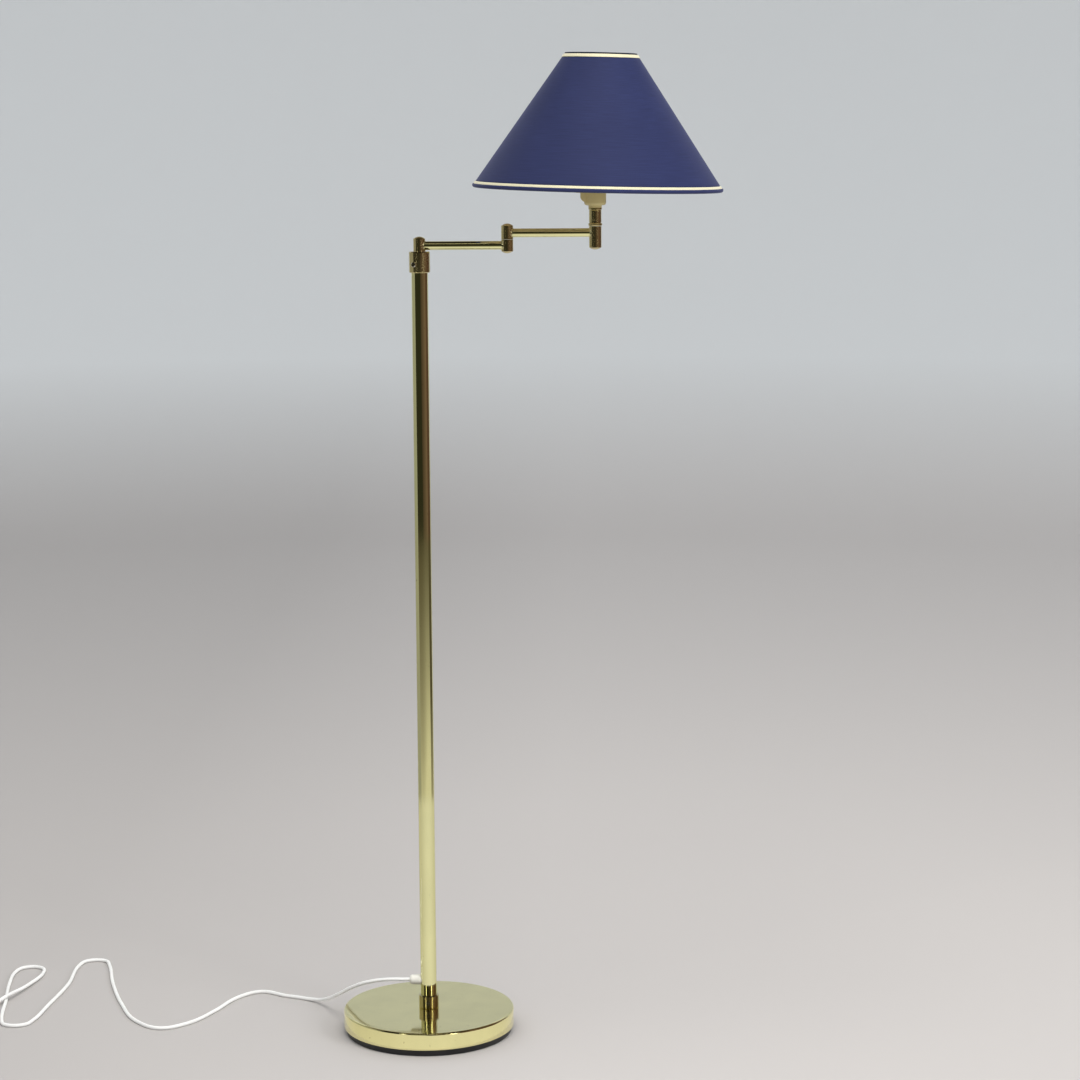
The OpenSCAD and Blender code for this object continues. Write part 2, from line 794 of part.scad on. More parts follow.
module head_nuts() {
    color(steel) translate([head_x, 0, 0]) {
        translate([0, 0, end_top_z - knuckle_floor - nut_h]) hex_nut(nut_h - fit);
        translate([0, 0, cap_floor_z]) hex_nut(nut_h);
    }
}

// Turned neck: bead at the foot, straight shaft, flange under the holder
module neck() {
    r = neck_d / 2;
    bead_r = neck_bead_d / 2;
    flange_r = neck_flange_d / 2;
    flange_z = neck_h - neck_flange_h;
    color(brass) translate([head_x, 0, neck_z]) difference() {
        rotate_extrude($fn = round_fn)
            polygon([[0, 0], [bead_r - 0.9, 0], [bead_r - 0.25, 0.5], [bead_r, 1.2],
                [bead_r, neck_bead_h - 1.4], [bead_r - 0.25, neck_bead_h - 0.6],
                [bead_r - 0.9, neck_bead_h], [r - 0.5, neck_bead_h], [r - 0.5, neck_bead_h + 0.8],
                [r, neck_bead_h + 1.2], [r, flange_z - 1], [r - 0.4, flange_z - 0.5],
                [r - 0.4, flange_z], [flange_r - 0.4, flange_z], [flange_r, flange_z + 0.4],
                [flange_r, neck_h - 0.5], [flange_r - 0.5, neck_h], [0, neck_h]]);
        translate([0, 0, -cut])
            cylinder(d = nipple_d + 2 * fit, h = neck_h + 2 * cut, $fn = round_fn);
    }
}

module head_lead() {
    lead_x = -nipple_bore / 2 + cord_d / 2 + free_gap;
    low = end_top_z - knuckle_floor - nut_h;
    color(white) translate([head_x + lead_x, 0, low])
        cylinder(d = cord_d, h = insert_z - low, $fn = small_fn);
}

// Half section of the holder's lower part: foot, straight body, flare up to the shell
module holder_outline() {
    foot_r = neck_flange_d / 2 - 0.2;
    body_r = holder_low_d / 2;
    top_r = holder_d / 2;
    foot_z = neck_top + cap_foot_h - 0.2;
    flare_z = neck_top + 22;
    polygon([[0, neck_top], [foot_r, neck_top], [foot_r, foot_z], [body_r - 2.4, foot_z + 0.2],
        [body_r - 0.8, foot_z + 1.2], [body_r, foot_z + 3], [body_r, flare_z],
        [body_r + 1.2, flare_z + 3.4], [top_r - 1.2, flare_z + 5.6], [top_r, flare_z + 7.6],
        [top_r, holder_split_z], [0, holder_split_z]]);
}

// Side outline of the switch housing: rounded up from the holder's body to its flat front
module switch_outline(inset) {
    r = switch_corner_r - inset;
    top = holder_split_z - inset;
    x_out = switch_out - inset;
    corner_z = neck_top + 14.5;
    polygon(concat(
        [[0, top], [x_out, top]],
        [for (a = [0 : 15 : 75]) [x_out - r + r * cos(a), corner_z - r * sin(a)]],
        [[0, corner_z - r]]));
}

module switch_block(inset) {
    w = switch_w - 2 * inset;
    rotate([90, 0, 180]) translate([0, 0, -w / 2]) linear_extrude(height = w)
        switch_outline(inset);
}

module holder_cap() {
    low_bore_r = holder_low_d / 2 - holder_wall;
    color(cream) translate([head_x, 0, 0]) difference() {
        union() {
            rotate_extrude($fn = round_fn) holder_outline();
            switch_block(0);
        }
        translate([0, 0, cap_floor_z])
            cylinder(r = low_bore_r, h = insert_z - cap_floor_z + cut, $fn = round_fn);
        translate([0, 0, insert_z])
            cylinder(r = holder_d / 2 - holder_wall, h = seat_h, $fn = round_fn);
        switch_block(holder_wall);
        translate([0, 0, neck_top - cut])
            cylinder(d = nipple_d + 2 * fit, h = cap_floor_z - neck_top + 2 * cut, $fn = small_fn);
        translate([0, 0, button_z]) rotate([0, -90, 0])
            cylinder(d = button_d + 2 * seat_gap, h = switch_out + cut, $fn = small_fn);
    }
}

// Upper shell: shade seat flange, then the sleeve that carries the ring nut
module holder_shell() {
    inner_r = holder_d / 2 - holder_wall;
    color(cream) translate([head_x, 0, 0]) difference() {
        union() {
            translate([0, 0, holder_split_z])
                cylinder(d = holder_d, h = holder_top - holder_split_z, $fn = round_fn);
            translate([0, 0, seat_z - holder_flange_t])
                cylinder(d = holder_flange_d, h = holder_flange_t, $fn = round_fn);
        }
        translate([0, 0, insert_z + insert_h])
            cylinder(r = inner_r - 1.6, h = holder_top, $fn = round_fn);
        translate([0, 0, holder_split_z - cut])
            cylinder(r = inner_r, h = insert_z + insert_h - holder_split_z + cut, $fn = round_fn);
    }
}

module ring_nut() {
    notch_count = 12;
    color(cream) translate([head_x, 0, seat_z + ring_t]) difference() {
        chamfered_sleeve(ring_nut_d, ring_nut_h, 1);
        translate([0, 0, -cut])
            cylinder(d = holder_d + 2 * seat_gap, h = ring_nut_h + 2 * cut, $fn = round_fn);
        for (i = [0 : notch_count - 1])
            rotate([0, 0, i * 360 / notch_count])
                translate([ring_nut_d / 2 + 1.2, 0, 2])
                    cylinder(r = 2.6, h = ring_nut_h, $fn = small_fn);
    }
}

module socket_insert() {
    color(white) translate([head_x, 0, insert_z]) {
        difference() {
            cylinder(r = holder_d / 2 - holder_wall - seat_gap, h = insert_h, $fn = round_fn);
            for (side = [-1, 1])
                translate([0, side * 9, -cut])
                    cylinder(d = 3.4, h = 5 + cut, $fn = small_fn);
        }
        translate([0, 0, insert_h])
            cylinder(r = insert_core_r, h = core_top - insert_z - insert_h, $fn = round_fn);
    }
}

module socket_sleeve() {
    sleeve_z = insert_z + insert_h;
    color(brass) translate([head_x, 0, sleeve_z])
        ring(2 * (sleeve_r + sleeve_t), 2 * sleeve_r, holder_top - 2 - sleeve_z);
}

// Plunger with a shoulder behind the housing's wall and a rounded end outside it
module switch_button() {
    r = button_d / 2;
    shoulder = switch_out - holder_wall - seat_gap;
    shoulder_h = 2.5;
    inner = shoulder - shoulder_h - 3;
    out = switch_out + button_out;
    color(cream) translate([head_x, 0, button_z]) rotate([0, -90, 0])
        rotate_extrude($fn = small_fn)
            polygon([[0, inner], [r - 1, inner], [r - 1, shoulder - shoulder_h],
                [button_shoulder_r, shoulder - shoulder_h], [button_shoulder_r, shoulder],
                [r, shoulder], [r, out - 1.2], [r - 0.4, out - 0.5], [r - 1.2, out], [0, out]]);
}

module bulb_cap() {
    r = bulb_cap_r;
    color(steel) translate([head_x, 0, bulb_cap_z]) rotate_extrude($fn = round_fn)
        polygon([[0, 0], [4.5, 0], [5, 0.6], [5, 1.6], [r - 3, 4], [r, 6], [r, bulb_cap_h],
            [0, bulb_cap_h]]);
}

// Glass envelope: a neck that swells by a half cosine into a round crown
function bulb_radius(z) =
    let (crown = bulb_d / 2, waist = bulb_glass_len - crown, neck_r = bulb_cap_r + 0.6)
    z < waist
        ? neck_r + (crown - neck_r) * (1 - cos(180 * pow(z / waist, 0.85))) / 2
        : sqrt(max(0, crown * crown - (z - waist) * (z - waist)));

function bulb_curve(inset) =
    let (waist = bulb_glass_len - bulb_d / 2, steps = 18)
    concat(
        [for (i = [0 : steps]) let (z = waist * i / steps) [bulb_radius(z) - inset, z]],
        [for (a = [10 : 10 : 80]) [(bulb_d / 2 - inset) * cos(a),
            waist + (bulb_d / 2 - inset) * sin(a)]],
        [[0, bulb_glass_len - inset]]);

module bulb_glass() {
    glass_t = 0.8;
    outer = bulb_curve(0);
    inner = bulb_curve(glass_t);
    color(white) translate([head_x, 0, bulb_glass_z]) rotate_extrude($fn = round_fn)
        polygon(concat(outer, [for (i = [len(inner) - 1 : -1 : 0]) inner[i]]));
}

// --- shade ---
module in_shade_frame() {
    translate([frame_x, 0, seat_z]) rotate([0, shade_lean, 0]) children();
}

module wire_ring(r, z) {
    translate([0, 0, z]) rotate_extrude($fn = round_fn)
        translate([r, 0]) circle(r = wire_r, $fn = 24);
}

// Seat ring between the holder's flange and the ring nut, three spokes and the lower wire
module shade_spider() {
    spoke_in = spider_ring_r + spider_ring_w - 0.6;
    color(steel) {
        translate([head_x + shade_shift, 0, seat_z])
            ring(2 * (spider_ring_r + spider_ring_w), 2 * spider_ring_r, ring_t);
        for (i = [0 : spoke_count - 1]) {
            turn = spoke_turn + i * 360 / spoke_count;
            start = [head_x + shade_shift + spoke_in * cos(turn), spoke_in * sin(turn),
                seat_z + ring_t / 2];
            end = from_shade([low_wire_r * cos(turn), low_wire_r * sin(turn), low_wire_z]);
            bar(start, end, spoke_d);
        }
        in_shade_frame() wire_ring(low_wire_r, low_wire_z);
    }
}

module shade_top_wire() {
    color(steel) in_shade_frame() wire_ring(top_wire_r, top_wire_z);
}

// A conical band on the shade between two heights; off is its distance from the cloth
module cone_band(z0, z1, off, t) {
    a = off * slant;
    b = (off + t) * slant;
    polygon([[radius_at(z0) + a, z0], [radius_at(z0) + b, z0], [radius_at(z1) + b, z1],
        [radius_at(z1) + a, z1]]);
}

module shade_cone() {
    color(navy) in_shade_frame() rotate_extrude($fn = 160)
        cone_band(cloth_low_z, shade_top_z, -shade_t, shade_t);
}

module shade_trims() {
    low_z = rim_z + (hem_w + 0.2) / slant;
    top_z = shade_top_z - top_trim_drop / slant;
    color(gilt) in_shade_frame() {
        rotate_extrude($fn = 160)
            cone_band(low_z, low_z + low_trim_w / slant, trim_gap, trim_t);
        rotate_extrude($fn = 160)
            cone_band(top_z - top_trim_w / slant, top_z, trim_gap, trim_t);
    }
}

// Dark binding: up the outside of the lower edge and under the cloth and the wire
module shade_hem() {
    z1 = rim_z + hem_w / slant;
    in_r = low_wire_r - wire_r;
    outer = trim_gap + hem_t;
    color(navy) in_shade_frame() rotate_extrude($fn = 160) polygon(concat(
        [[radius_at(z1) + trim_gap * slant, z1], [radius_at(z1) + outer * slant, z1]],
        rolled(roll_r, 0),
        [[in_r, rim_z], [in_r, rim_z + hem_t]],
        rolled(roll_r - hem_t, 1)));
}

// Points of the roll from the cloth's face to the underside, or back
function rolled(r, back) = [for (i = [0 : roll_steps])
    let (u = (back ? roll_steps - i : i) / roll_steps, a = face_turn - (face_turn + 90) * u)
    [roll_x + r * cos(a), roll_z + r * sin(a)]];

// --- cord ---
function unit(v) = v / norm(v);

// Point on a smooth curve from b to c, whose neighbours are a and d; u runs from 0 to 1
function through(a, b, c, d, u) =
    let (
        run = norm(c - b),
        leave = run * unit(unit(b - a) + unit(c - b)),
        arrive = run * unit(unit(c - b) + unit(d - c)))
    b + leave * (u - 2 * u * u + u * u * u) + (c - b) * (3 * u * u - 2 * u * u * u)
        + arrive * (u * u * u - u * u);

function above_floor(p) = [p[0], p[1], max(floor_z, p[2])];

// Points of a route: its first and last runs stay straight, the rest is smooth
function smooth_route(p, per_run) =
    let (n = len(p))
    concat(
        [p[0]],
        [for (i = [1 : n - 3], k = [0 : per_run - 1])
            above_floor(through(p[i - 1], p[i], p[i + 1], p[i + 2], k / per_run))],
        [p[n - 2], p[n - 1]]);

function direction(p, i) =
    i == 0 ? unit(p[1] - p[0])
    : i == len(p) - 1 ? unit(p[i] - p[i - 1])
    : unit(unit(p[i + 1] - p[i]) + unit(p[i] - p[i - 1]));

// Points round the cord at one place of its centre line, flat side down
function cord_ring(centre, along, sides) =
    let (side = unit(cross([0, 0, 1], along)), up = cross(along, side))
    [for (k = [0 : sides - 1])
        let (a = (k + 0.5) * 360 / sides)
        centre + cord_d / 2 * (side * sin(a) + up * cos(a))];

module swept_cord(p, sides) {
    n = len(p);
    points = [for (i = [0 : n - 1]) each cord_ring(p[i], direction(p, i), sides)];
    walls = [for (i = [0 : n - 2], k = [0 : sides - 1])
        let (k2 = (k + 1) % sides, a = i * sides + k, b = i * sides + k2)
        each [[a, b, b + sides], [a, b + sides, a + sides]]];
    start_face = [for (k = [1 : sides - 2]) [0, k + 1, k]];
    last = (n - 1) * sides;
    end_face = [for (k = [1 : sides - 2]) [last, last + k, last + k + 1]];
    polyhedron(points = points, faces = concat(start_face, walls, end_face), convexity = 10);
}

function route_length(p, i = 0, sum = 0) =
    i >= len(p) - 1 ? sum : route_length(p, i + 1, sum + norm(p[i + 1] - p[i]));

// Coil: a clockwise spiral in on the floor, a climb of one layer, and a spiral out above
function ease(u) = let (v = min(1, max(0, u))) v * v * (3 - 2 * v);

function coil_point(turns) =
    let (
        inward = min(turns, 2 * coil_loops_per_layer - turns),
        r = coil_out_r - coil_pitch * inward,
        z = floor_z + coil_layer * ease((turns - coil_loops_per_layer + 0.25) / 0.5),
        a = -360 * turns)
    [coil_x + r * cos(a), coil_y + r * sin(a), z];

coil_line = let (count = 2 * coil_loops_per_layer * coil_rings)
    concat(
        [[coil_in_x, coil_y + cord_d, floor_z]],
        [for (i = [0 : count]) coil_point(i / coil_rings)],
        [[coil_in_x, coil_y - cord_d, floor_z + coil_layer]]);
stretch_line = smooth_route(stretch_route, 2);
tail_line = smooth_route(tail_route, 2);

// Least gap between stretches of one cord whose points lie more than skip places apart
function self_gap(p, skip) = min([
    for (i = [0 : len(p) - 1 - skip], j = [i + skip : len(p) - 1]) norm(p[j] - p[i])]) - cord_d;

union() {
    echo(coil_gap = self_gap(coil_line, coil_rings / 2));
    echo(stretch_gap = self_gap(stretch_line, 6));
    echo(cord_length = route_length(stretch_line) + route_length(coil_line)
        + route_length(tail_line));
}

module cord_stretch() {
    color(white) swept_cord(stretch_line, cord_sides);
}

module cord_coil() {
    color(white) swept_cord(coil_line, coil_sides);
}

module cord_tail() {
    color(white) swept_cord(tail_line, cord_sides);
}

// Flat two-pin plug, lying on the floor with its pins away from the cord
module plug_pin_places() {
    for (side = [-1, 1])
        translate([plug_x + side * pin_pitch / 2, plug_y - plug_len, plug_z])
            rotate([90, 0, 0]) children();
}

module plug_body() {
    w = plug_w / 2;
    t = plug_thick / 2;
    nose = 6;
    color(white) difference() {
        union() {
            translate([plug_x, plug_y, plug_z]) {
                rotate([90, 0, 0]) cylinder(d1 = 7, d2 = 9, h = 6.5, $fn = small_fn);
                intersection() {
                    translate([0, 0, -t]) linear_extrude(height = plug_thick)
                        polygon([[-nose, -6], [nose, -6], [nose + 3.4, -9], [nose + 4, -13],
                            [w - 4, -22], [w - 1.2, -25], [w, -28], [w, -plug_len],
                            [-w, -plug_len], [-w, -28], [1.2 - w, -25], [4 - w, -22],
                            [-nose - 4, -13], [-nose - 3.4, -9]]);
                    translate([-w - cut, 0, 0]) rotate([90, 0, 90])
                        linear_extrude(height = plug_w + 2 * cut)
                            polygon([[0, 4.5], [-9, 5.2], [-20, t - 0.6], [-26, t],
                                [-plug_len, t], [-plug_len, -t], [-26, -t], [-20, 0.6 - t],
                                [-9, -5.2], [0, -4.5]]);
                }
            }
            // insulating sleeves round the roots of the pins
            plug_pin_places() translate([0, 0, -cut])
                cylinder(d = pin_sleeve_d, h = pin_sleeve_len + cut, $fn = small_fn);
        }
        plug_pin_places() translate([0, 0, -pin_root])
            cylinder(d = pin_core_d + 2 * fit, h = pin_root + pin_sleeve_len + cut,
                $fn = small_fn);
    }
}

// Each pin has a slim core in the plug and its sleeve, and a full round end beyond them
module plug_pins() {
    r = pin_d / 2;
    color(steel) plug_pin_places()
        rotate_extrude($fn = small_fn)
            polygon([[0, -pin_root], [pin_core_d / 2, -pin_root],
                [pin_core_d / 2, pin_sleeve_len + fit], [r, pin_sleeve_len + fit],
                [r, pin_len - 1], [1.2, pin_len], [0, pin_len]]);
}

base_pad();
base_pan();
pan_screws();
base_weight();
base_bolt();
base_washer();
base_cover();
foot_collar();
foot_collar_screw();
stem_foot_plug();
stem_tube();
stem_lead();
cord_bush();
clamp_collar();
collar_liner();
clamp_screw();
riser_tube();
riser_guide();
riser_plug();
riser_nut();
riser_washer();
riser_lead();
stem_knuckle();
stem_knuckle_cap();
arm_1_tube();
arm_1_lead();
mid_knuckle_lower();
mid_cap_lower();
mid_nipple();
mid_nuts();
mid_washer();
mid_knuckle_upper();
mid_cap_upper();
arm_2_tube();
arm_2_lead();
end_knuckle();
end_cap();
end_washer();
head_nipple();
head_nuts();
neck();
head_lead();
holder_cap();
holder_shell();
ring_nut();
socket_insert();
socket_sleeve();
switch_button();
bulb_cap();
bulb_glass();
shade_spider();
shade_top_wire();
shade_cone();
shade_trims();
shade_hem();
cord_stretch();
cord_coil();
cord_tail();
plug_body();
plug_pins();
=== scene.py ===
"""Looks of a bridge floor lamp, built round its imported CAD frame.

One operator makes or dresses each group of pieces, and one makes the studio.
Lengths in the sizes below are millimetres, and MM turns them to the scene's metres.
"""

import math

import bpy
from bpy.props import FloatProperty, FloatVectorProperty, IntProperty, PointerProperty
from mathutils import Matrix, Vector


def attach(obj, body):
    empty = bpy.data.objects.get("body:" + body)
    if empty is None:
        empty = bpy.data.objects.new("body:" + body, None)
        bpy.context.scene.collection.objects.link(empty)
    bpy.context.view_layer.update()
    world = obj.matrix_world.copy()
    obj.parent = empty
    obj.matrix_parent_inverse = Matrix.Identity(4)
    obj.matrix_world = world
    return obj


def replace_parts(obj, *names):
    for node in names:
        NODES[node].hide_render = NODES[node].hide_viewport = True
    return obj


bl_info = {
    "name": "Bridge floor lamp",
    "version": (1, 0, 0),
    "blender": (4, 5, 0),
    "location": "3D View > Sidebar > Lamp",
    "description": "Dresses the frame of a bridge floor lamp with its finishes and soft parts",
    "category": "Object",
}

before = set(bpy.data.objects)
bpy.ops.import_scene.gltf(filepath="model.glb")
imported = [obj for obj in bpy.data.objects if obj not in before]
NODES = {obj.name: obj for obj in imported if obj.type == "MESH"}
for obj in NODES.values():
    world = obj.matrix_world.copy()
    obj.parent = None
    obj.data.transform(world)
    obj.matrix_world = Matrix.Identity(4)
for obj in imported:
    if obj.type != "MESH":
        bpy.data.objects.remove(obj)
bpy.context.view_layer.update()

MM = 0.001

# --- the camera that the photograph was taken with ---
PHOTO_SIDE_PX = 1080
CAMERA_FOCAL_PX = 2796.69
CAMERA_SENSOR_MM = 36.0
CAMERA_PLACE = Vector((0.23795, -3.65153, 1.22845))
CAMERA_RIGHT = Vector((0.99974161, 0.02183319, -0.00632684))
CAMERA_UP = Vector((0.00296217, 0.15082705, 0.98855573))
CAMERA_FORWARD = Vector((-0.02253758, 0.98831903, -0.15072341))

# --- the cord's route, from the bush to the plug ---
CORD_FLOOR = 2.5
CORD_OVER = 8.3
BUSH_TIP = -25.0
CORD_EXIT_Z = 70.0
COIL_X = -705.0
COIL_Y = 30.0
COIL_PITCH = 5.8
COIL_LAYER = 5.7
COIL_LOOPS_PER_LAYER = 2
COIL_CLIMB_TURNS = 0.5
COIL_OUT_R = 34.0
COIL_IN_X = COIL_X + COIL_OUT_R
STRETCH_ROUTE = [
    (BUSH_TIP, 0, CORD_EXIT_Z), (-32, 0, CORD_EXIT_Z), (-62, 2, 69), (-88, 10, 62),
    (-108, 26, 50), (-126, 50, 34), (-143, 80, 18), (-160, 108, 6), (-180, 124, CORD_FLOOR),
    (-212, 138, CORD_FLOOR), (-247, 156, CORD_FLOOR), (-277, 130, CORD_FLOOR),
    (-300, 74, CORD_FLOOR), (-330, 18, CORD_FLOOR), (-366, -5, CORD_FLOOR),
    (-404, 26, CORD_FLOOR), (-435, 96, CORD_FLOOR), (-464, 190, CORD_FLOOR),
    (-486, 284, CORD_FLOOR), (-492, 299, CORD_FLOOR), (-507, 305, CORD_FLOOR),
    (-522, 299, CORD_FLOOR), (-528, 284, CORD_FLOOR), (-528, 190, CORD_FLOOR),
    (-538, 96, CORD_FLOOR), (-547, 26, CORD_FLOOR), (-553, 11, CORD_FLOOR),
    (-568, 5, CORD_FLOOR), (-583, 11, CORD_FLOOR), (-589, 26, CORD_FLOOR),
    (-602, 115, CORD_FLOOR), (-613, 190, CORD_FLOOR), (-615, 252, CORD_FLOOR),
    (-609, 266, CORD_FLOOR), (-595, 272, CORD_FLOOR), (-581, 266, CORD_FLOOR),
    (-575, 252, CORD_FLOOR), (-586, 172, 4.6), (-601, 118, CORD_OVER), (-617, 86, 5),
    (-640, 72, CORD_FLOOR), (-657, 65, CORD_FLOOR), (-667, 54, CORD_FLOOR),
    (COIL_IN_X, 42, CORD_FLOOR), (COIL_IN_X, COIL_Y + 5, CORD_FLOOR)]
TAIL_ROUTE = [
    (COIL_IN_X, COIL_Y - 5, CORD_FLOOR + COIL_LAYER), (COIL_IN_X, 18, CORD_FLOOR + COIL_LAYER),
    (-672, 2, 5), (-674, -18, 3), (-676, -36, 4), (-677, -50, 7), (-677, -55, 7)]
ROUTE_STEPS = 5
COIL_STEPS = 48

# --- the shade, in its own leaning frame above the lampholder's seat ---
HEAD_X = 229.0
FRAME_X = HEAD_X + 3.7
SEAT_Z = 1145.4
RIM_Z = -14.3
SHADE_H = 174.1
SHADE_LOW_R = 163.5
SHADE_TOP_R = 46.0
SHADE_T = 0.8
SHADE_SLOPE = (SHADE_TOP_R - SHADE_LOW_R) / SHADE_H
SHADE_SLANT = math.hypot(1, SHADE_SLOPE)
SHADE_TOP_Z = RIM_Z + SHADE_H
FACE_TURN = math.atan(-SHADE_SLOPE)
WIRE_R = 1.5
LOW_WIRE_Z = RIM_Z + 2.4
HEM_W = 5.1
HEM_T = 0.6
TRIM_GAP = 0.05
LOW_TRIM_W = 3.9
TOP_TRIM_W = 4.8
TOP_TRIM_DROP = 2.3
TRIM_ABOVE_HEM = 0.2
CLOTH_OFF = -0.42
CLOTH_T = 0.40
LINING_T = 0.36
LINING_DROP = 0.2
CUT_EDGE_T = 0.12
CROWN_POWER = 0.6
CONE_ROWS = 24
ROUND_STEPS = 384
# height, waves round the shade and start of each ripple of its stiff cloth
RIPPLES = ((0.05, 5, 0.7), (0.04, 11, 2.1))

# --- knuckles and arms, for the brazed joints ---
ARM_R = 5.7
KNUCKLE_R = 7.9
END_KNUCKLE_R = 8.15
MID_X = 114.5
ARM_1_Z = 1059.5
ARM_2_Z = 1075.4
BRAZE_GAP = 0.02


def hex_colour(code):
    """An sRGB hex code as the linear colour that shaders take."""
    parts = [int(code[i:i + 2], 16) / 255 for i in (1, 3, 5)]
    return [c / 12.92 if c <= 0.04045 else ((c + 0.055) / 1.055) ** 2.4 for c in parts]


def rgba(colour, share=1.0):
    """A hex code or a linear colour with its alpha, made darker or lighter by share."""
    linear = hex_colour(colour) if isinstance(colour, str) else colour
    return (*(min(1.0, c * share) for c in linear[:3]), 1.0)


# --- materials ---
def add_node(tree, kind, settings=None, links=None):
    """Adds a node, gives its properties and sockets their settings, and links its inputs."""
    node = tree.nodes.new(kind)
    for key, value in (settings or {}).items():
        if isinstance(key, str) and hasattr(node, key):
            setattr(node, key, value)
        else:
            node.inputs[key].default_value = value
    for key, source in (links or {}).items():
        tree.links.new(source, node.inputs[key])
    return node


def start_material(name, colour, roughness, metallic=0.0, ior=1.5, **sockets):
    """A material with its Principled shader set, its tree, and the shader."""
    material = bpy.data.materials.new(name)
    material.use_nodes = True
    shader = material.node_tree.nodes["Principled BSDF"]
    shader.inputs["Base Color"].default_value = rgba(colour)
    shader.inputs["Roughness"].default_value = roughness
    shader.inputs["Metallic"].default_value = metallic
    shader.inputs["IOR"].default_value = ior
    for socket, value in sockets.items():
        shader.inputs[socket.replace("_", " ")].default_value = value
    material.diffuse_color = rgba(colour)
    return material, material.node_tree, shader


def coordinates(tree, kind="Object"):
    """A coordinate output in metres: the lamp's own, or the unrolled length of a strip."""
    return add_node(tree, "ShaderNodeTexCoord").outputs[kind]


def grain(tree, place, size_mm, detail=2.0, stretch=(1, 1, 1)):
    """Noise whose features are about size_mm across, drawn out by stretch."""
    scaled = add_node(tree, "ShaderNodeVectorMath", {"operation": "DIVIDE", 1: stretch},
                      {0: place})
    return add_node(tree, "ShaderNodeTexNoise",
                    {"Scale": 1 / (size_mm * MM), "Detail": detail},
                    {"Vector": scaled.outputs[0]}).outputs["Fac"]


def spread(tree, value, low, high, low_in=0.3, high_in=0.7):
    """Maps low_in to low and high_in to high. By default they take the middle of noise."""
    return add_node(tree, "ShaderNodeMapRange",
                    {"From Min": low_in, "From Max": high_in, "To Min": low, "To Max": high},
                    {"Value": value}).outputs["Result"]


def blend(tree, factor, under, over):
    """A colour from under to over. Each is a hex code, a linear colour or a socket."""
    mix = add_node(tree, "ShaderNodeMix", {"data_type": "RGBA"}, {"Factor": factor})
    sockets = [socket for socket in mix.inputs if socket.type == "RGBA"]
    for socket, colour in zip(sockets, (under, over)):
        if isinstance(colour, bpy.types.NodeSocket):
            tree.links.new(colour, socket)
        else:
            socket.default_value = rgba(colour)
    return next(socket for socket in mix.outputs if socket.type == "RGBA")


def relief(tree, height, depth_mm, strength):
    """A bump from a height between 0 and 1, depth_mm deep."""
    return add_node(tree, "ShaderNodeBump", {"Strength": strength, "Distance": depth_mm * MM},
                    {"Height": height}).outputs["Normal"]


def polished_brass(name, base, roughness):
    """Brass, turned or drawn, buffed bright and lacquered. The buffing leaves long soft
    clouds in the gloss, the lacquer a clear coat, and where it wears the brass dulls in
    small brown specks."""
    material, tree, shader = start_material(
        name, base, roughness, metallic=1.0, Coat_Weight=0.25, Coat_Roughness=0.05)
    tarnish, tarnish_roughness = "#7A6238", 0.22
    place = coordinates(tree)
    clouds = grain(tree, place, size_mm=38, detail=3.0, stretch=(1, 1, 2.2))
    tone = blend(tree, spread(tree, clouds, 0.0, 0.55), base, rgba(base, 0.84))
    specks = grain(tree, place, size_mm=5.5, detail=5.0, stretch=(1, 1, 1.4))
    worn = spread(tree, specks, 0.0, 0.8, low_in=0.70, high_in=0.78)
    colour = blend(tree, worn, tone, tarnish)
    dulled = add_node(
        tree, "ShaderNodeMath", {"operation": "MULTIPLY_ADD", 1: tarnish_roughness},
        {0: worn, 2: spread(tree, clouds, roughness * 0.7, roughness * 1.5)})
    tree.links.new(colour, shader.inputs["Base Color"])
    tree.links.new(dulled.outputs[0], shader.inputs["Roughness"])
    buffing = grain(tree, place, size_mm=2.4, stretch=(1, 1, 5))
    tree.links.new(relief(tree, buffing, depth_mm=0.02, strength=0.10),
                   shader.inputs["Normal"])
    return material


def plain_surface(name, base, shade, roughness, size_mm, depth_mm, metallic=0.0, ior=1.5,
                  **sockets):
    """A surface with a fine grain of one size, which varies its tone, gloss and height."""
    material, tree, shader = start_material(name, base, roughness, metallic, ior, **sockets)
    place = coordinates(tree)
    clouds = grain(tree, place, size_mm=30, detail=3.0)
    fine = grain(tree, place, size_mm, detail=3.0)
    tree.links.new(blend(tree, spread(tree, clouds, 0, 0.6), base, shade),
                   shader.inputs["Base Color"])
    tree.links.new(spread(tree, fine, roughness * 0.85, min(1.0, roughness * 1.2)),
                   shader.inputs["Roughness"])
    tree.links.new(relief(tree, fine, depth_mm, strength=0.5), shader.inputs["Normal"])
    return material


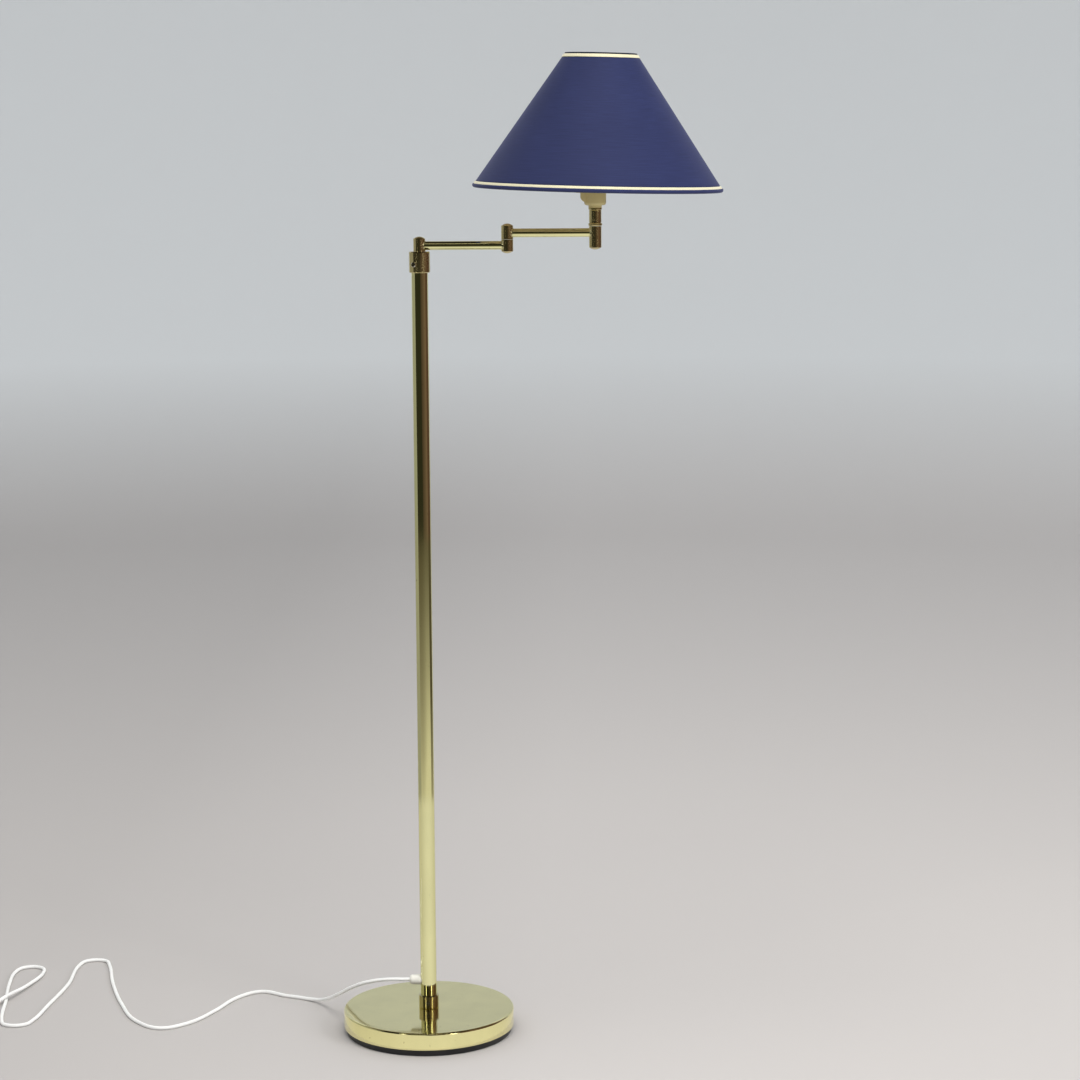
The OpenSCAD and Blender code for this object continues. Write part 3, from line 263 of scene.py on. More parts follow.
def laminated_cloth(name, base):
    """Satin cotton bonded to film: a close plain weave with slubs in the weft, drawn at
    1.1 mm for threads of 0.35 mm, because those are too fine to show. It has a soft sheen."""
    material, tree, shader = start_material(
        name, base, 0.62, ior=1.45, Sheen_Weight=0.25, Sheen_Roughness=0.4,
        Specular_IOR_Level=0.35)
    shader.inputs["Sheen Tint"].default_value = rgba("#8E93C4")
    unrolled = coordinates(tree, "UV")
    thread_mm = 1.1
    slubs = grain(tree, unrolled, thread_mm, detail=3.0, stretch=(26, 1, 1))
    warp = grain(tree, unrolled, thread_mm, stretch=(1, 18, 1))
    clouds = grain(tree, unrolled, size_mm=55, detail=3.0)
    dark = rgba(base, 0.78)
    tone = blend(tree, spread(tree, slubs, 0.1, 0.9), dark, rgba(base, 1.3))
    tone = blend(tree, spread(tree, warp, 0.0, 0.35), tone, base)
    tone = blend(tree, spread(tree, clouds, 0.0, 0.25), tone, dark)
    tree.links.new(tone, shader.inputs["Base Color"])
    threads = add_node(tree, "ShaderNodeMath", {"operation": "ADD"}, {0: slubs, 1: warp})
    tree.links.new(relief(tree, threads.outputs[0], depth_mm=0.12, strength=0.35),
                   shader.inputs["Normal"])
    return material


def metallic_braid(name, base):
    """Woven braid of gilt yarn: pale metallized film over cream thread, plaited in a
    chevron of 3 mm. It is a dull pale gold from afar, with a broken glitter."""
    material, tree, shader = start_material(
        name, base, 0.45, metallic=0.14, Sheen_Weight=0.25)
    unrolled = coordinates(tree, "UV")
    yarn = grain(tree, unrolled, size_mm=1.2, stretch=(1, 0.6, 1))
    tone = blend(tree, spread(tree, yarn, 0, 1), base, rgba(base, 0.7))
    tree.links.new(tone, shader.inputs["Base Color"])
    tree.links.new(spread(tree, yarn, 0.35, 0.6), shader.inputs["Roughness"])
    tree.links.new(relief(tree, yarn, depth_mm=0.1, strength=0.5), shader.inputs["Normal"])
    return material


def opal_glass():
    """Blown soda-lime glass, frosted white inside: it glows a little and blurs what is behind."""
    material, tree, shader = start_material(
        "opal_glass", "#F4F2EA", 0.12, ior=1.52, Transmission_Weight=0.25,
        Subsurface_Weight=0.3, Coat_Weight=0.5, Coat_Roughness=0.03)
    shader.inputs["Subsurface Radius"].default_value = (0.004, 0.004, 0.0035)
    shader.inputs["Subsurface Scale"].default_value = 1.0
    frost = grain(tree, coordinates(tree), size_mm=12, detail=3.0)
    tree.links.new(spread(tree, frost, 0.08, 0.18), shader.inputs["Roughness"])
    return material


def make_materials(colours):
    """Every finish of the lamp by name."""
    return {
        # the drawn tubes are a pale, nearly perfect mirror
        "brass": polished_brass("polished_drawn_brass", colours.brass, 0.06),
        # the spun cover is yellower, and softened by the floor cloths it has met
        "spun_brass": polished_brass("polished_spun_brass", colours.spun_brass, 0.09),
        # the knuckles and collars are handled more, and have lost some lacquer
        "aged_brass": polished_brass("worn_turned_brass", colours.worn_brass, 0.19),
        # the fillets were filed and buffed with the tubes, and are a shade paler
        "braze": polished_brass("polished_braze", "#F3ECBE", 0.10),
        # stoved enamel: nearly black, with a soft satin gloss
        "black": plain_surface("satin_black_enamel", "#101012", "#17171A",
                               roughness=0.38, size_mm=0.6, depth_mm=0.03),
        # pressed wool: matt, with a short loose pile
        "felt": plain_surface("pressed_wool_felt", "#1B1B1D", "#2A2A2C",
                              roughness=0.95, size_mm=0.8, depth_mm=0.25, Sheen_Weight=0.4),
        # cast in sand: coarse and grey, with a dull gleam
        "iron": plain_surface("grey_cast_iron", "#4A4A4C", "#38383A",
                              roughness=0.6, size_mm=1.2, depth_mm=0.15, metallic=0.8),
        # turned and plated: a cool silver, half matt
        "zinc": plain_surface("zinc_plated_steel", "#B9BABD", "#A5A7AA",
                              roughness=0.32, size_mm=0.5, depth_mm=0.02, metallic=1.0),
        # turned, plated and buffed: a warm and bright silver
        "nickel": plain_surface("nickel_plated_steel", "#CFCBC2", "#B9B4AA",
                                roughness=0.18, size_mm=0.4, depth_mm=0.01, metallic=1.0),
        # drawn wire, dipped in enamel: off-white with a low gloss
        "wire": plain_surface("white_enamelled_wire", "#E6E5DE", "#D6D4CB",
                              roughness=0.4, size_mm=0.8, depth_mm=0.03),
        # moulded and undyed: milky and waxy
        "nylon": plain_surface("natural_nylon", "#E8E5D8", "#DBD7C6",
                               roughness=0.5, size_mm=0.6, depth_mm=0.02, ior=1.53),
        # moulded: an even satin cream, painted a little darker as painted shade from the shade
        # above
        "thermoplastic": plain_surface("moulded_cream_thermoplastic", colours.holder,
                                       rgba(colours.holder, 0.86), roughness=0.42,
                                       size_mm=0.5, depth_mm=0.02, ior=1.46),
        # glazed and fired: white, with a wet gloss
        "ceramic": plain_surface("glazed_steatite", "#EFEDE6", "#E3E0D6",
                                 roughness=0.2, size_mm=1.5, depth_mm=0.02, ior=1.55),
        # extruded: clean white, with a soft gloss along the cord
        "flex": plain_surface("white_pvc_flex", colours.flex, rgba(colours.flex, 0.9),
                              roughness=0.42, size_mm=0.7, depth_mm=0.02, ior=1.53),
        # moulded: creamier than the flex, and a little glossier
        "moulded_pvc": plain_surface("moulded_white_pvc", "#EFEDE4", "#E4E1D5",
                                     roughness=0.38, size_mm=0.6, depth_mm=0.02, ior=1.53),
        # rolled and pressed: pale grey, with a fine grain
        "lamp_cap": plain_surface("rolled_aluminium", "#C9CACB", "#B4B5B6",
                                  roughness=0.3, size_mm=0.4, depth_mm=0.01, metallic=1.0),
        "glass": opal_glass(),
        "cloth": laminated_cloth("satin_laminated_cloth", colours.cloth),
        # the same cloth cut on the bias, painted a little lighter: a painted highlight on the
        # rolled hem
        "binding": laminated_cloth("bias_binding_cloth_painted_highlight", rgba(colours.cloth, 1.15)),
        # the cut edge above the upper braid, the cloth painted nearly black: painted shade
        "cut_edge": laminated_cloth("cut_edge_painted_shade", rgba(colours.cloth, 0.2)),
        # the film behind the cloth: smooth, beige, with a slight gleam
        "lining": plain_surface("beige_styrene_film", "#C4B59C", "#B8A88E",
                                roughness=0.35, size_mm=1.0, depth_mm=0.02, ior=1.53),
        "braid": metallic_braid("woven_gilt_braid", colours.braid),
    }


FINISHES = {}

BRASS_NODES = ["stem_tube", "riser_tube", "arm_1_tube", "arm_2_tube"]
AGED_BRASS_NODES = [
    "foot_collar", "clamp_collar", "stem_knuckle", "stem_knuckle_cap", "mid_knuckle_lower",
    "mid_cap_lower", "mid_knuckle_upper", "mid_cap_upper", "end_knuckle", "end_cap", "neck"]
HOLDER_NODES = ["holder_cap", "holder_shell", "ring_nut", "switch_button"]
INNER_NODES = {
    "black": ["base_pan"],
    "felt": ["base_pad"],
    "iron": ["base_weight"],
    "zinc": ["pan_screws", "base_bolt", "base_washer", "stem_foot_plug", "riser_plug",
             "riser_nut", "mid_nipple", "mid_nuts", "head_nipple", "head_nuts"],
    "nickel": ["foot_collar_screw", "clamp_screw"],
    "nylon": ["collar_liner", "riser_guide", "riser_washer", "mid_washer", "end_washer"],
    "flex": ["stem_lead", "riser_lead", "arm_1_lead", "arm_2_lead", "head_lead"],
}


def finish(obj, material):
    """Gives an object one finish in place of those it has."""
    obj.data.materials.clear()
    obj.data.materials.append(material)


def dress(nodes, material):
    """Gives the named CAD nodes one finish."""
    for name in nodes:
        finish(NODES[name], material)


# --- meshes ---
def new_piece(name, points, faces, material, body, unrolled=None):
    """A smooth mesh piece in metres that rides on a body."""
    mesh = bpy.data.meshes.new(name)
    mesh.from_pydata([Vector(p) * MM for p in points], [], faces)
    if unrolled is not None:
        layer = mesh.uv_layers.new(name="UVMap")
        for polygon in mesh.polygons:
            for corner, loop in zip(unrolled(polygon.index), polygon.loop_indices):
                layer.data[loop].uv = corner
    mesh.polygons.foreach_set("use_smooth", [True] * len(mesh.polygons))
    mesh.update()
    piece = bpy.data.objects.new(name, mesh)
    bpy.context.scene.collection.objects.link(piece)
    mesh.materials.append(material)
    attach(piece, body)
    return piece


def radius_at(z):
    """Outer radius of the shade's cloth at a height in the shade's frame."""
    return SHADE_LOW_R + (z - RIM_Z) * SHADE_SLOPE


# the hem rolls round the rim on this circle, and the cloth ends above it
ROLL_R = 2.4
ROLL_Z = RIM_Z + ROLL_R
ROLL_X = radius_at(ROLL_Z) + (TRIM_GAP + HEM_T - ROLL_R) * SHADE_SLANT
CLOTH_ABOVE_ROLL = 0.1
CLOTH_LOW_Z = ROLL_Z + (ROLL_R - HEM_T) * math.sin(FACE_TURN) + CLOTH_ABOVE_ROLL
WIRE_GAP = 0.3
LOW_WIRE_R = radius_at(LOW_WIRE_Z) - WIRE_GAP - (SHADE_T + WIRE_R) * SHADE_SLANT


def from_shade(r, turn, z):
    """A point of the leaning shade, in the lamp's frame."""
    lean = math.radians(bpy.context.scene.lamp_sizes.shade_lean)
    x, y = r * math.cos(turn), r * math.sin(turn)
    return (FRAME_X + x * math.cos(lean) + z * math.sin(lean), y,
            SEAT_Z + z * math.cos(lean) - x * math.sin(lean))


def turned_strip(name, section, material, steps=ROUND_STEPS, warp=None):
    """A closed section of (radius, height) points turned round the shade's axis.
    warp(turn, k) adds to the radius of point k. Its UV is its unrolled size in metres."""
    count = len(section)
    points = []
    for i in range(steps):
        turn = 2 * math.pi * i / steps
        for k, (r, z) in enumerate(section):
            points.append(from_shade(r + (warp(turn, k) if warp else 0), turn, z))
    faces = []
    for i in range(steps):
        j = (i + 1) % steps
        for k in range(count):
            m = (k + 1) % count
            faces.append((i * count + k, j * count + k, j * count + m, i * count + m))
    along = [0.0]
    for k in range(count):
        (r0, z0), (r1, z1) = section[k], section[(k + 1) % count]
        along.append(along[-1] + math.hypot(r1 - r0, z1 - z0) * MM)
    mean_r = sum(r for r, _ in section) / count * MM

    def unrolled(face):
        i, k = divmod(face, count)
        u0, u1 = (2 * math.pi * mean_r * n / steps for n in (i, i + 1))
        return [(u0, along[k]), (u1, along[k]), (u1, along[k + 1]), (u0, along[k + 1])]

    return new_piece(name, points, faces, material, "head", unrolled)


def cone_section(z0, z1, off, thick, rows, crown=0.0):
    """Section of a band on the shade: off from the cloth, thick, crowned in its middle."""
    outer, inner = [], []
    for k in range(rows + 1):
        u = k / rows
        z = z0 + (z1 - z0) * u
        bulge = thick - crown + crown * math.sin(math.pi * u) ** CROWN_POWER
        outer.append((radius_at(z) + (off + bulge) * SHADE_SLANT, z))
        inner.append((radius_at(z) + off * SHADE_SLANT, z))
    return outer + inner[::-1]


def thickened(path, thick):
    """A closed section from an open path, thick to its right-hand side."""
    other = []
    for k, (r, z) in enumerate(path):
        r0, z0 = path[max(0, k - 1)]
        r1, z1 = path[min(len(path) - 1, k + 1)]
        length = math.hypot(r1 - r0, z1 - z0)
        other.append((r + (z1 - z0) / length * thick, z - (r1 - r0) / length * thick))
    return path + other[::-1]


# --- the cord's line ---
def through(a, b, c, d, u):
    """Point on a smooth curve from b to c, whose neighbours are a and d."""
    run = (c - b).length
    leave = run * ((b - a).normalized() + (c - b).normalized()).normalized()
    arrive = run * ((c - b).normalized() + (d - c).normalized()).normalized()
    return (b + leave * (u - 2 * u * u + u ** 3) + (c - b) * (3 * u * u - 2 * u ** 3)
            + arrive * (u ** 3 - u * u))


def smooth_route(route, per_run):
    """Points of a route: its first and last runs stay straight, the rest is smooth."""
    p = [Vector(x) for x in route]
    points = [p[0]]
    for i in range(1, len(p) - 2):
        for k in range(per_run):
            q = through(p[i - 1], p[i], p[i + 1], p[i + 2], k / per_run)
            q.z = max(CORD_FLOOR, q.z)
            points.append(q)
    return points + [p[-2], p[-1]]


def coil_point(turns):
    """A clockwise spiral in on the floor, a climb of one layer, and a spiral out above."""
    inward = min(turns, 2 * COIL_LOOPS_PER_LAYER - turns)
    r = COIL_OUT_R - COIL_PITCH * inward
    climb = min(1.0, max(0.0, (turns - COIL_LOOPS_PER_LAYER + COIL_CLIMB_TURNS / 2)
                         / COIL_CLIMB_TURNS))
    z = CORD_FLOOR + COIL_LAYER * climb * climb * (3 - 2 * climb)
    a = -2 * math.pi * turns
    return Vector((COIL_X + r * math.cos(a), COIL_Y + r * math.sin(a), z))


def cord_line():
    """The whole cord's centre line in metres."""
    line = smooth_route(STRETCH_ROUTE, ROUTE_STEPS)
    line += [coil_point(i / COIL_STEPS)
             for i in range(2 * COIL_LOOPS_PER_LAYER * COIL_STEPS + 1)]
    line += smooth_route(TAIL_ROUTE, ROUTE_STEPS)
    return [p * MM for p in line]


# --- sizes and colours that a user would change ---
class LampSizes(bpy.types.PropertyGroup):
    """Sizes of the pieces that are made here."""

    shade_lean: FloatProperty(
        name="Shade lean", description="Lean of the shade towards the arm's outer end, degrees",
        default=1.6, min=0.0, max=3.0)
    cord_diameter: FloatProperty(
        name="Cord diameter", description="Diameter of the flex", default=0.005,
        min=0.004, max=0.006, subtype="DISTANCE", unit="LENGTH")
    cord_length: FloatProperty(
        name="Cord length", description="Length of the flex from the bush to the plug",
        default=2.563, min=1.5, max=3.0, subtype="DISTANCE", unit="LENGTH")
    fillet: FloatProperty(
        name="Brazed fillet", description="Leg of the brazed fillets on the arms, millimetres",
        default=1.1, min=0.4, max=2.0)
    plait: FloatProperty(
        name="Plait", description="Length of one plait of the gilt braid, millimetres",
        default=3.0, min=1.5, max=6.0)
    seam_width: FloatProperty(
        name="Seam", description="Width of the shade's glued overlap, millimetres",
        default=8.0, min=4.0, max=14.0)


def colour_property(name, description, code):
    """A colour that a user can pick, with a hex code as its default."""
    return FloatVectorProperty(name=name, description=description, subtype="COLOR",
                               default=hex_colour(code), min=0.0, max=1.0)


class LampColours(bpy.types.PropertyGroup):
    """Colours of the finishes."""

    brass: colour_property("Brass", "Colour of the drawn tubes", "#F1EEB9")
    spun_brass: colour_property("Spun brass", "Colour of the base's cover", "#F7F0B4")
    worn_brass: colour_property("Worn brass", "Colour of the knuckles and collars", "#D9CC9B")
    cloth: colour_property("Cloth", "Colour of the shade's cloth", "#282F56")
    braid: colour_property("Braid", "Colour of the shade's two braids", "#F6EFCB")
    holder: colour_property("Lampholder", "Colour of the lampholder", "#D0C28A")
    flex: colour_property("Flex", "Colour of the cord", "#F7F7F5")


class LampStudio(bpy.types.PropertyGroup):
    """The room and its lights."""

    floor_colour: colour_property("Floor", "Colour of the pale floor", "#C4C0BE")
    wall_colour: colour_property("Wall", "Colour of the paper up the wall", "#DDDFE0")
    air_colour: colour_property("Air", "Colour of the light from all round", "#DFE2E5")
    air_strength: FloatProperty(
        name="Air strength", description="Strength of the light from all round",
        default=0.96, min=0.0, max=3.0)
    room_radius: FloatProperty(
        name="Room", description="Radius of the round studio", default=7.5, min=5.5, max=12.0,
        subtype="DISTANCE", unit="LENGTH")
    ceiling_power: FloatProperty(
        name="Ceiling", description="Power of the large soft light above", default=112.0,
        min=0.0, max=2000.0, unit="POWER")
    key_power: FloatProperty(
        name="Key", description="Power of the soft light at the front right", default=78.0,
        min=0.0, max=2000.0, unit="POWER")
    room_steps: IntProperty(
        name="Steps", description="Facets round the studio", default=96, min=24, max=256)


# --- operators ---
class LAMP_OT_camera(bpy.types.Operator):
    """Places the camera where the photograph was taken"""

    bl_idname = "lamp.camera"
    bl_label = "Place the camera"

    def execute(self, context):
        data = bpy.data.cameras.new("photo_camera")
        data.sensor_width = CAMERA_SENSOR_MM
        data.lens = CAMERA_FOCAL_PX * CAMERA_SENSOR_MM / PHOTO_SIDE_PX
        data.clip_start, data.clip_end = 0.05, 60.0
        camera = bpy.data.objects.new("photo_camera", data)
        turn = Matrix((CAMERA_RIGHT, CAMERA_UP, -CAMERA_FORWARD)).transposed()
        camera.matrix_world = Matrix.Translation(CAMERA_PLACE) @ turn.to_4x4()
        context.scene.collection.objects.link(camera)
        context.scene.camera = camera
        return {"FINISHED"}


class LAMP_OT_cord(bpy.types.Operator):
    """Lays the flex on the floor, with its spare length in a coil, and dresses its plug"""

    bl_idname = "lamp.cord"
    bl_label = "Lay the cord"

    def execute(self, context):
        sizes = context.scene.lamp_sizes
        line = cord_line()
        curve = bpy.data.curves.new("flex", "CURVE")
        curve.dimensions = "3D"
        curve.bevel_depth = sizes.cord_diameter / 2
        curve.bevel_resolution = 4
        curve.use_fill_caps = True
        spline = curve.splines.new("POLY")
        spline.points.add(len(line) - 1)
        for point, place in zip(spline.points, line):
            point.co = (*place, 1.0)
        spline.use_smooth = True
        flex = bpy.data.objects.new("flex", curve)
        context.scene.collection.objects.link(flex)
        curve.materials.append(FINISHES["flex"])
        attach(flex, "stand")
        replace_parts(flex, "cord_stretch", "cord_coil", "cord_tail")
        dress(["cord_bush", "plug_body"], FINISHES["moulded_pvc"])
        dress(["plug_pins"], FINISHES["nickel"])
        return {"FINISHED"}


class LAMP_OT_brass(bpy.types.Operator):
    """Polishes the brass of the base, stem, arms and neck"""

    bl_idname = "lamp.brass"
    bl_label = "Polish the brass"

    def execute(self, context):
        dress(BRASS_NODES, FINISHES["brass"])
        dress(["base_cover"], FINISHES["spun_brass"])
        dress(AGED_BRASS_NODES, FINISHES["aged_brass"])
        return {"FINISHED"}


class LAMP_OT_inner(bpy.types.Operator):
    """Dresses the pan, the weight, the fixings and the pieces inside"""

    bl_idname = "lamp.inner"
    bl_label = "Dress the inner pieces"

    def execute(self, context):
        for name, nodes in INNER_NODES.items():
            dress(nodes, FINISHES[name])
        return {"FINISHED"}


class LAMP_OT_brazing(bpy.types.Operator):
    """Runs a brazed fillet round each end of the arm tubes"""

    bl_idname = "lamp.brazing"
    bl_label = "Braze the arms"

    TURNS = 48
    ROWS = 6
    SPARE_R = 0.15
    SUNK_X = 0.25
    SUNK_R = 0.1

    def fillet(self, name, centre, side, knuckle_r, body, leg):
        """A concave fillet between an arm tube along X and an upright knuckle."""
        points, faces = [], []
        for i in range(self.TURNS):
            a = 2 * math.pi * i / self.TURNS

            def on_knuckle(r):
                return math.sqrt(knuckle_r ** 2 - (r * math.cos(a)) ** 2)

            start = (on_knuckle(ARM_R) + leg, ARM_R + BRAZE_GAP)
            corner = (on_knuckle(ARM_R) + BRAZE_GAP, ARM_R + BRAZE_GAP)
            wide = min(ARM_R + leg, knuckle_r - self.SPARE_R)
            end = (on_knuckle(wide) + BRAZE_GAP, wide)
            section = [(start[0] * (1 - u) ** 2 + 2 * corner[0] * u * (1 - u) + end[0] * u * u,
                        start[1] * (1 - u) ** 2 + 2 * corner[1] * u * (1 - u) + end[1] * u * u)
                       for u in (k / (self.ROWS - 1) for k in range(self.ROWS))]
            # the last row is sunk into the tube, so no gap shows under the fillet
            section.append((corner[0] - self.SUNK_X, ARM_R - self.SUNK_R))
            for x, r in section:
                points.append((centre[0] + side * x, centre[1] + r * math.cos(a),
                               centre[2] + r * math.sin(a)))
        count = self.ROWS + 1
        for i in range(self.TURNS):
            j = (i + 1) % self.TURNS
            for k in range(count):
                m = (k + 1) % count
                face = (i * count + k, j * count + k, j * count + m, i * count + m)
                faces.append(face if side > 0 else face[::-1])
        new_piece(name, points, faces, FINISHES["braze"], body)

    def execute(self, context):
        leg = context.scene.lamp_sizes.fillet
        for name, x, z, side, knuckle_r, body in (
                ("braze_stem", 0, ARM_1_Z, 1, KNUCKLE_R, "arm_1"),
                ("braze_mid_lower", MID_X, ARM_1_Z, -1, KNUCKLE_R, "arm_1"),
                ("braze_mid_upper", MID_X, ARM_2_Z, 1, KNUCKLE_R, "arm_2"),
                ("braze_end", HEAD_X, ARM_2_Z, -1, END_KNUCKLE_R, "arm_2")):
            self.fillet(name, (x, 0, z), side, knuckle_r, body, leg)
        return {"FINISHED"}


class LAMP_OT_holder(bpy.types.Operator):
    """Dresses the lampholder, its insert and the bulb"""

    bl_idname = "lamp.holder"
    bl_label = "Dress the lampholder"

    def execute(self, context):
        dress(HOLDER_NODES, FINISHES["thermoplastic"])
        dress(["socket_insert"], FINISHES["ceramic"])
        dress(["socket_sleeve"], FINISHES["brass"])
        dress(["bulb_cap"], FINISHES["lamp_cap"])
        dress(["bulb_glass"], FINISHES["glass"])
        return {"FINISHED"}


class LAMP_OT_shade(bpy.types.Operator):
    """Makes the shade: cloth, lining, overlap, hem and gilt braids on the wire frame"""

    bl_idname = "lamp.shade"
    bl_label = "Make the shade"

    SEAM_TURN = math.radians(97)
    SEAM_ROWS = 40
    SEAM_GAP = 0.1
    BRAID_ROWS = 10
    BRAID_T = 0.55
    BRAID_CROWN = 0.15
    YARN_H = 0.17
    STEPS_PER_PLAIT = 6
    CHEVRON_LEAN = 3.6
    GROOVE_W = 0.12
    GROOVE_DEPTH = 0.7
    HEM_ROLL_STEPS = 12
    BINDING_T = 0.5
    HEM_IN_GAP = 0.5
    # the hem's inner lip, out from its inner face and up from the rim
    HEM_LIP = ((1.2, 0.0), (0.35, 0.35), (0.0, 1.2), (0.0, 2.6), (0.2, 4.0))

    def execute(self, context):
        sizes = context.scene.lamp_sizes
        dress(["shade_spider", "shade_top_wire"], FINISHES["wire"])

        def ripple(turn, _):
            """The cone is a little out of round."""
            return sum(height * math.sin(waves * turn + start)
                       for height, waves, start in RIPPLES)

        cloth = turned_strip(
            "shade_cloth",
            cone_section(CLOTH_LOW_Z, SHADE_TOP_Z, CLOTH_OFF, CLOTH_T, CONE_ROWS),
            FINISHES["cloth"], warp=ripple)
        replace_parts(cloth, "shade_cone")
        turned_strip(
            "shade_lining",
            cone_section(CLOTH_LOW_Z, SHADE_TOP_Z - LINING_DROP, -SHADE_T, LINING_T, CONE_ROWS),
            FINISHES["lining"], warp=ripple)
        low_trim_z = RIM_Z + (HEM_W + TRIM_ABOVE_HEM) / SHADE_SLANT
        top_trim_z = SHADE_TOP_Z - (TOP_TRIM_DROP + TOP_TRIM_W) / SHADE_SLANT
        self.seam(sizes.seam_width, low_trim_z + LOW_TRIM_W / SHADE_SLANT, top_trim_z)
        self.braid("shade_braid_low", low_trim_z, LOW_TRIM_W, sizes.plait)
        self.braid("shade_braid_top", top_trim_z, TOP_TRIM_W, sizes.plait)
        self.hem()
        # a thin strip above the upper braid, in cloth painted nearly black: painted shade
        edge_z = top_trim_z + TOP_TRIM_W / SHADE_SLANT
        turned_strip("painted_shade_cut_edge",
                     cone_section(edge_z, SHADE_TOP_Z, off=0.0, thick=CUT_EDGE_T, rows=2),
                     FINISHES["cut_edge"])
        return {"FINISHED"}

    def seam(self, width, low, high):
        """The overlap where the cone's two ends are glued, at the back."""
        rows, start, top = self.SEAM_ROWS, low + self.SEAM_GAP, high - self.SEAM_GAP
        points, faces = [], []
        across = (-0.5, -0.44, 0.44, 0.5)
        lift = (0.0, 0.30, 0.34, 0.34)
        for i in range(rows + 1):
            z = start + (top - start) * i / rows
            r = radius_at(z)
            for outside in (False, True):
                for s, up in zip(across, lift):
                    turn = self.SEAM_TURN + s * width / r
                    points.append(from_shade(r + (up if outside else 0.0) + self.SEAM_GAP,
                                             turn, z))
        count = 2 * len(across)
        half = len(across)
        loop = list(range(half, count)) + list(range(half - 1, -1, -1))
        for i in range(rows):
            for k in range(count):
                a, b = loop[k], loop[(k + 1) % count]
                faces.append((i * count + a, i * count + b, (i + 1) * count + b,
                              (i + 1) * count + a))
        faces.append(tuple(loop[::-1]))
        faces.append(tuple(rows * count + k for k in loop))
        grid = [s * width * MM for s in across]

        def unrolled(face):
            if face >= rows * count:
                return [(0.0, 0.0)] * count
            i, k = divmod(face, count)
            a, b = grid[loop[k] % half], grid[loop[(k + 1) % count] % half]
            v0, v1 = ((start + (top - start) * n / rows) * SHADE_SLANT * MM
                      for n in (i, i + 1))
            return [(a, v0), (b, v0), (b, v1), (a, v1)]

        new_piece("shade_overlap", points, faces, FINISHES["cloth"], "head",
                  unrolled)

    def braid(self, name, z0, width, plait):
        """A flat plaited braid: two rows of slanting yarns that meet in a chevron."""
        rows = self.BRAID_ROWS
        section = cone_section(z0, z0 + width / SHADE_SLANT, TRIM_GAP, self.BRAID_T, rows,
                               crown=self.BRAID_CROWN)
        mean_r = sum(r for r, _ in section) / len(section)
        plaits = round(2 * math.pi * mean_r / plait)
        steps = plaits * self.STEPS_PER_PLAIT

        def weave(turn, k):
            if k == 0 or k >= rows:
                return 0.0
            u = abs(2 * k / rows - 1)
            yarn = 0.5 + 0.5 * math.cos(plaits * turn + self.CHEVRON_LEAN * u)
            groove = 1.0 - self.GROOVE_DEPTH * math.exp(-(u / self.GROOVE_W) ** 2)
            return self.YARN_H * yarn * groove * SHADE_SLANT

        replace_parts(turned_strip(name, section, FINISHES["braid"], steps, weave),
                    "shade_trims")

    def hem(self):
        """Binding rolled round the rim: down the outside, under the wire and up inside."""
        top = RIM_Z + HEM_W / SHADE_SLANT
        path = [(radius_at(top) + (TRIM_GAP + HEM_T) * SHADE_SLANT, top)]
        for k in range(self.HEM_ROLL_STEPS + 1):
            a = FACE_TURN - (FACE_TURN + math.pi / 2) * k / self.HEM_ROLL_STEPS
            path.append((ROLL_X + ROLL_R * math.cos(a), ROLL_Z + ROLL_R * math.sin(a)))
        inner = LOW_WIRE_R - WIRE_R - self.HEM_IN_GAP
        path += [(inner + r, RIM_Z + z) for r, z in self.HEM_LIP]
        section = thickened(path, -self.BINDING_T)
        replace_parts(turned_strip("shade_binding", section, FINISHES["binding"]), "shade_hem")


class LAMP_OT_studio(bpy.types.Operator):
    """Builds the pale round studio, its soft lights and the screens that the brass mirrors"""

    bl_idname = "lamp.studio"
    bl_label = "Build the studio"

    SCREEN_STEPS = 18
    # metres
    COVE_R = 3.0
    WALL_H = 4.2
    WALL_TONE_H = 0.4
    SCREEN_R = 4.45
    SCREEN_H = 4.2
    LYING_H = 0.002
    FOOT_R = 0.14
    NEAR_R = 1.3
    WINDOW_SPAN = (1.35, 3.6)
    WINDOW_NEARER = 0.05
    PANEL_LOWER = 0.1
    # degrees from the front to the right, where one screen ends and the next begins
    LEFT_END, PALE_END, DARK_END, WARM_END, RIGHT_END = -130, -68, 10, 82, 132

    def stage_mesh(self, name, points, faces, material, tones=None):
        """A stage mesh. tones gives each point a place between a screen's two colours."""
        mesh = bpy.data.meshes.new(name)
        mesh.from_pydata(points, [], faces)
        mesh.polygons.foreach_set("use_smooth", [True] * len(mesh.polygons))
        if tones:
            layer = mesh.uv_layers.new(name="UVMap")
            for loop in mesh.loops:
                layer.data[loop.index].uv = (tones[loop.vertex_index], 0.5)
        mesh.materials.append(material)
        obj = bpy.data.objects.new(name, mesh)
        bpy.context.scene.collection.objects.link(obj)
        return obj

    def room(self, settings):
        """A round floor that curves up into the wall, so no edge shows from any side."""
        radius, steps = settings.room_radius, settings.room_steps
        cove_x = radius - self.COVE_R
        profile = [(cove_x * k / 4, 0.0) for k in range(1, 4)] + [
            (cove_x + self.COVE_R * math.sin(a), self.COVE_R * (1 - math.cos(a)))
            for a in (math.radians(d) for d in range(0, 91, 6))]
        profile.append((radius, self.WALL_H))
        points = [(0.0, 0.0, 0.0)]
        for r, z in profile:
            points += [(r * math.cos(2 * math.pi * i / steps),
                        r * math.sin(2 * math.pi * i / steps), z) for i in range(steps)]
        faces = [(0, 1 + i, 1 + (i + 1) % steps) for i in range(steps)]
        for k in range(len(profile) - 1):
            for i in range(steps):
                j = (i + 1) % steps
                faces.append((1 + k * steps + i, 1 + (k + 1) * steps + i,
                              1 + (k + 1) * steps + j, 1 + k * steps + j))
        material, tree, shader = start_material("matt_paper_sweep", "#D9D6D4", 0.9,
                                                Specular_IOR_Level=0.1)
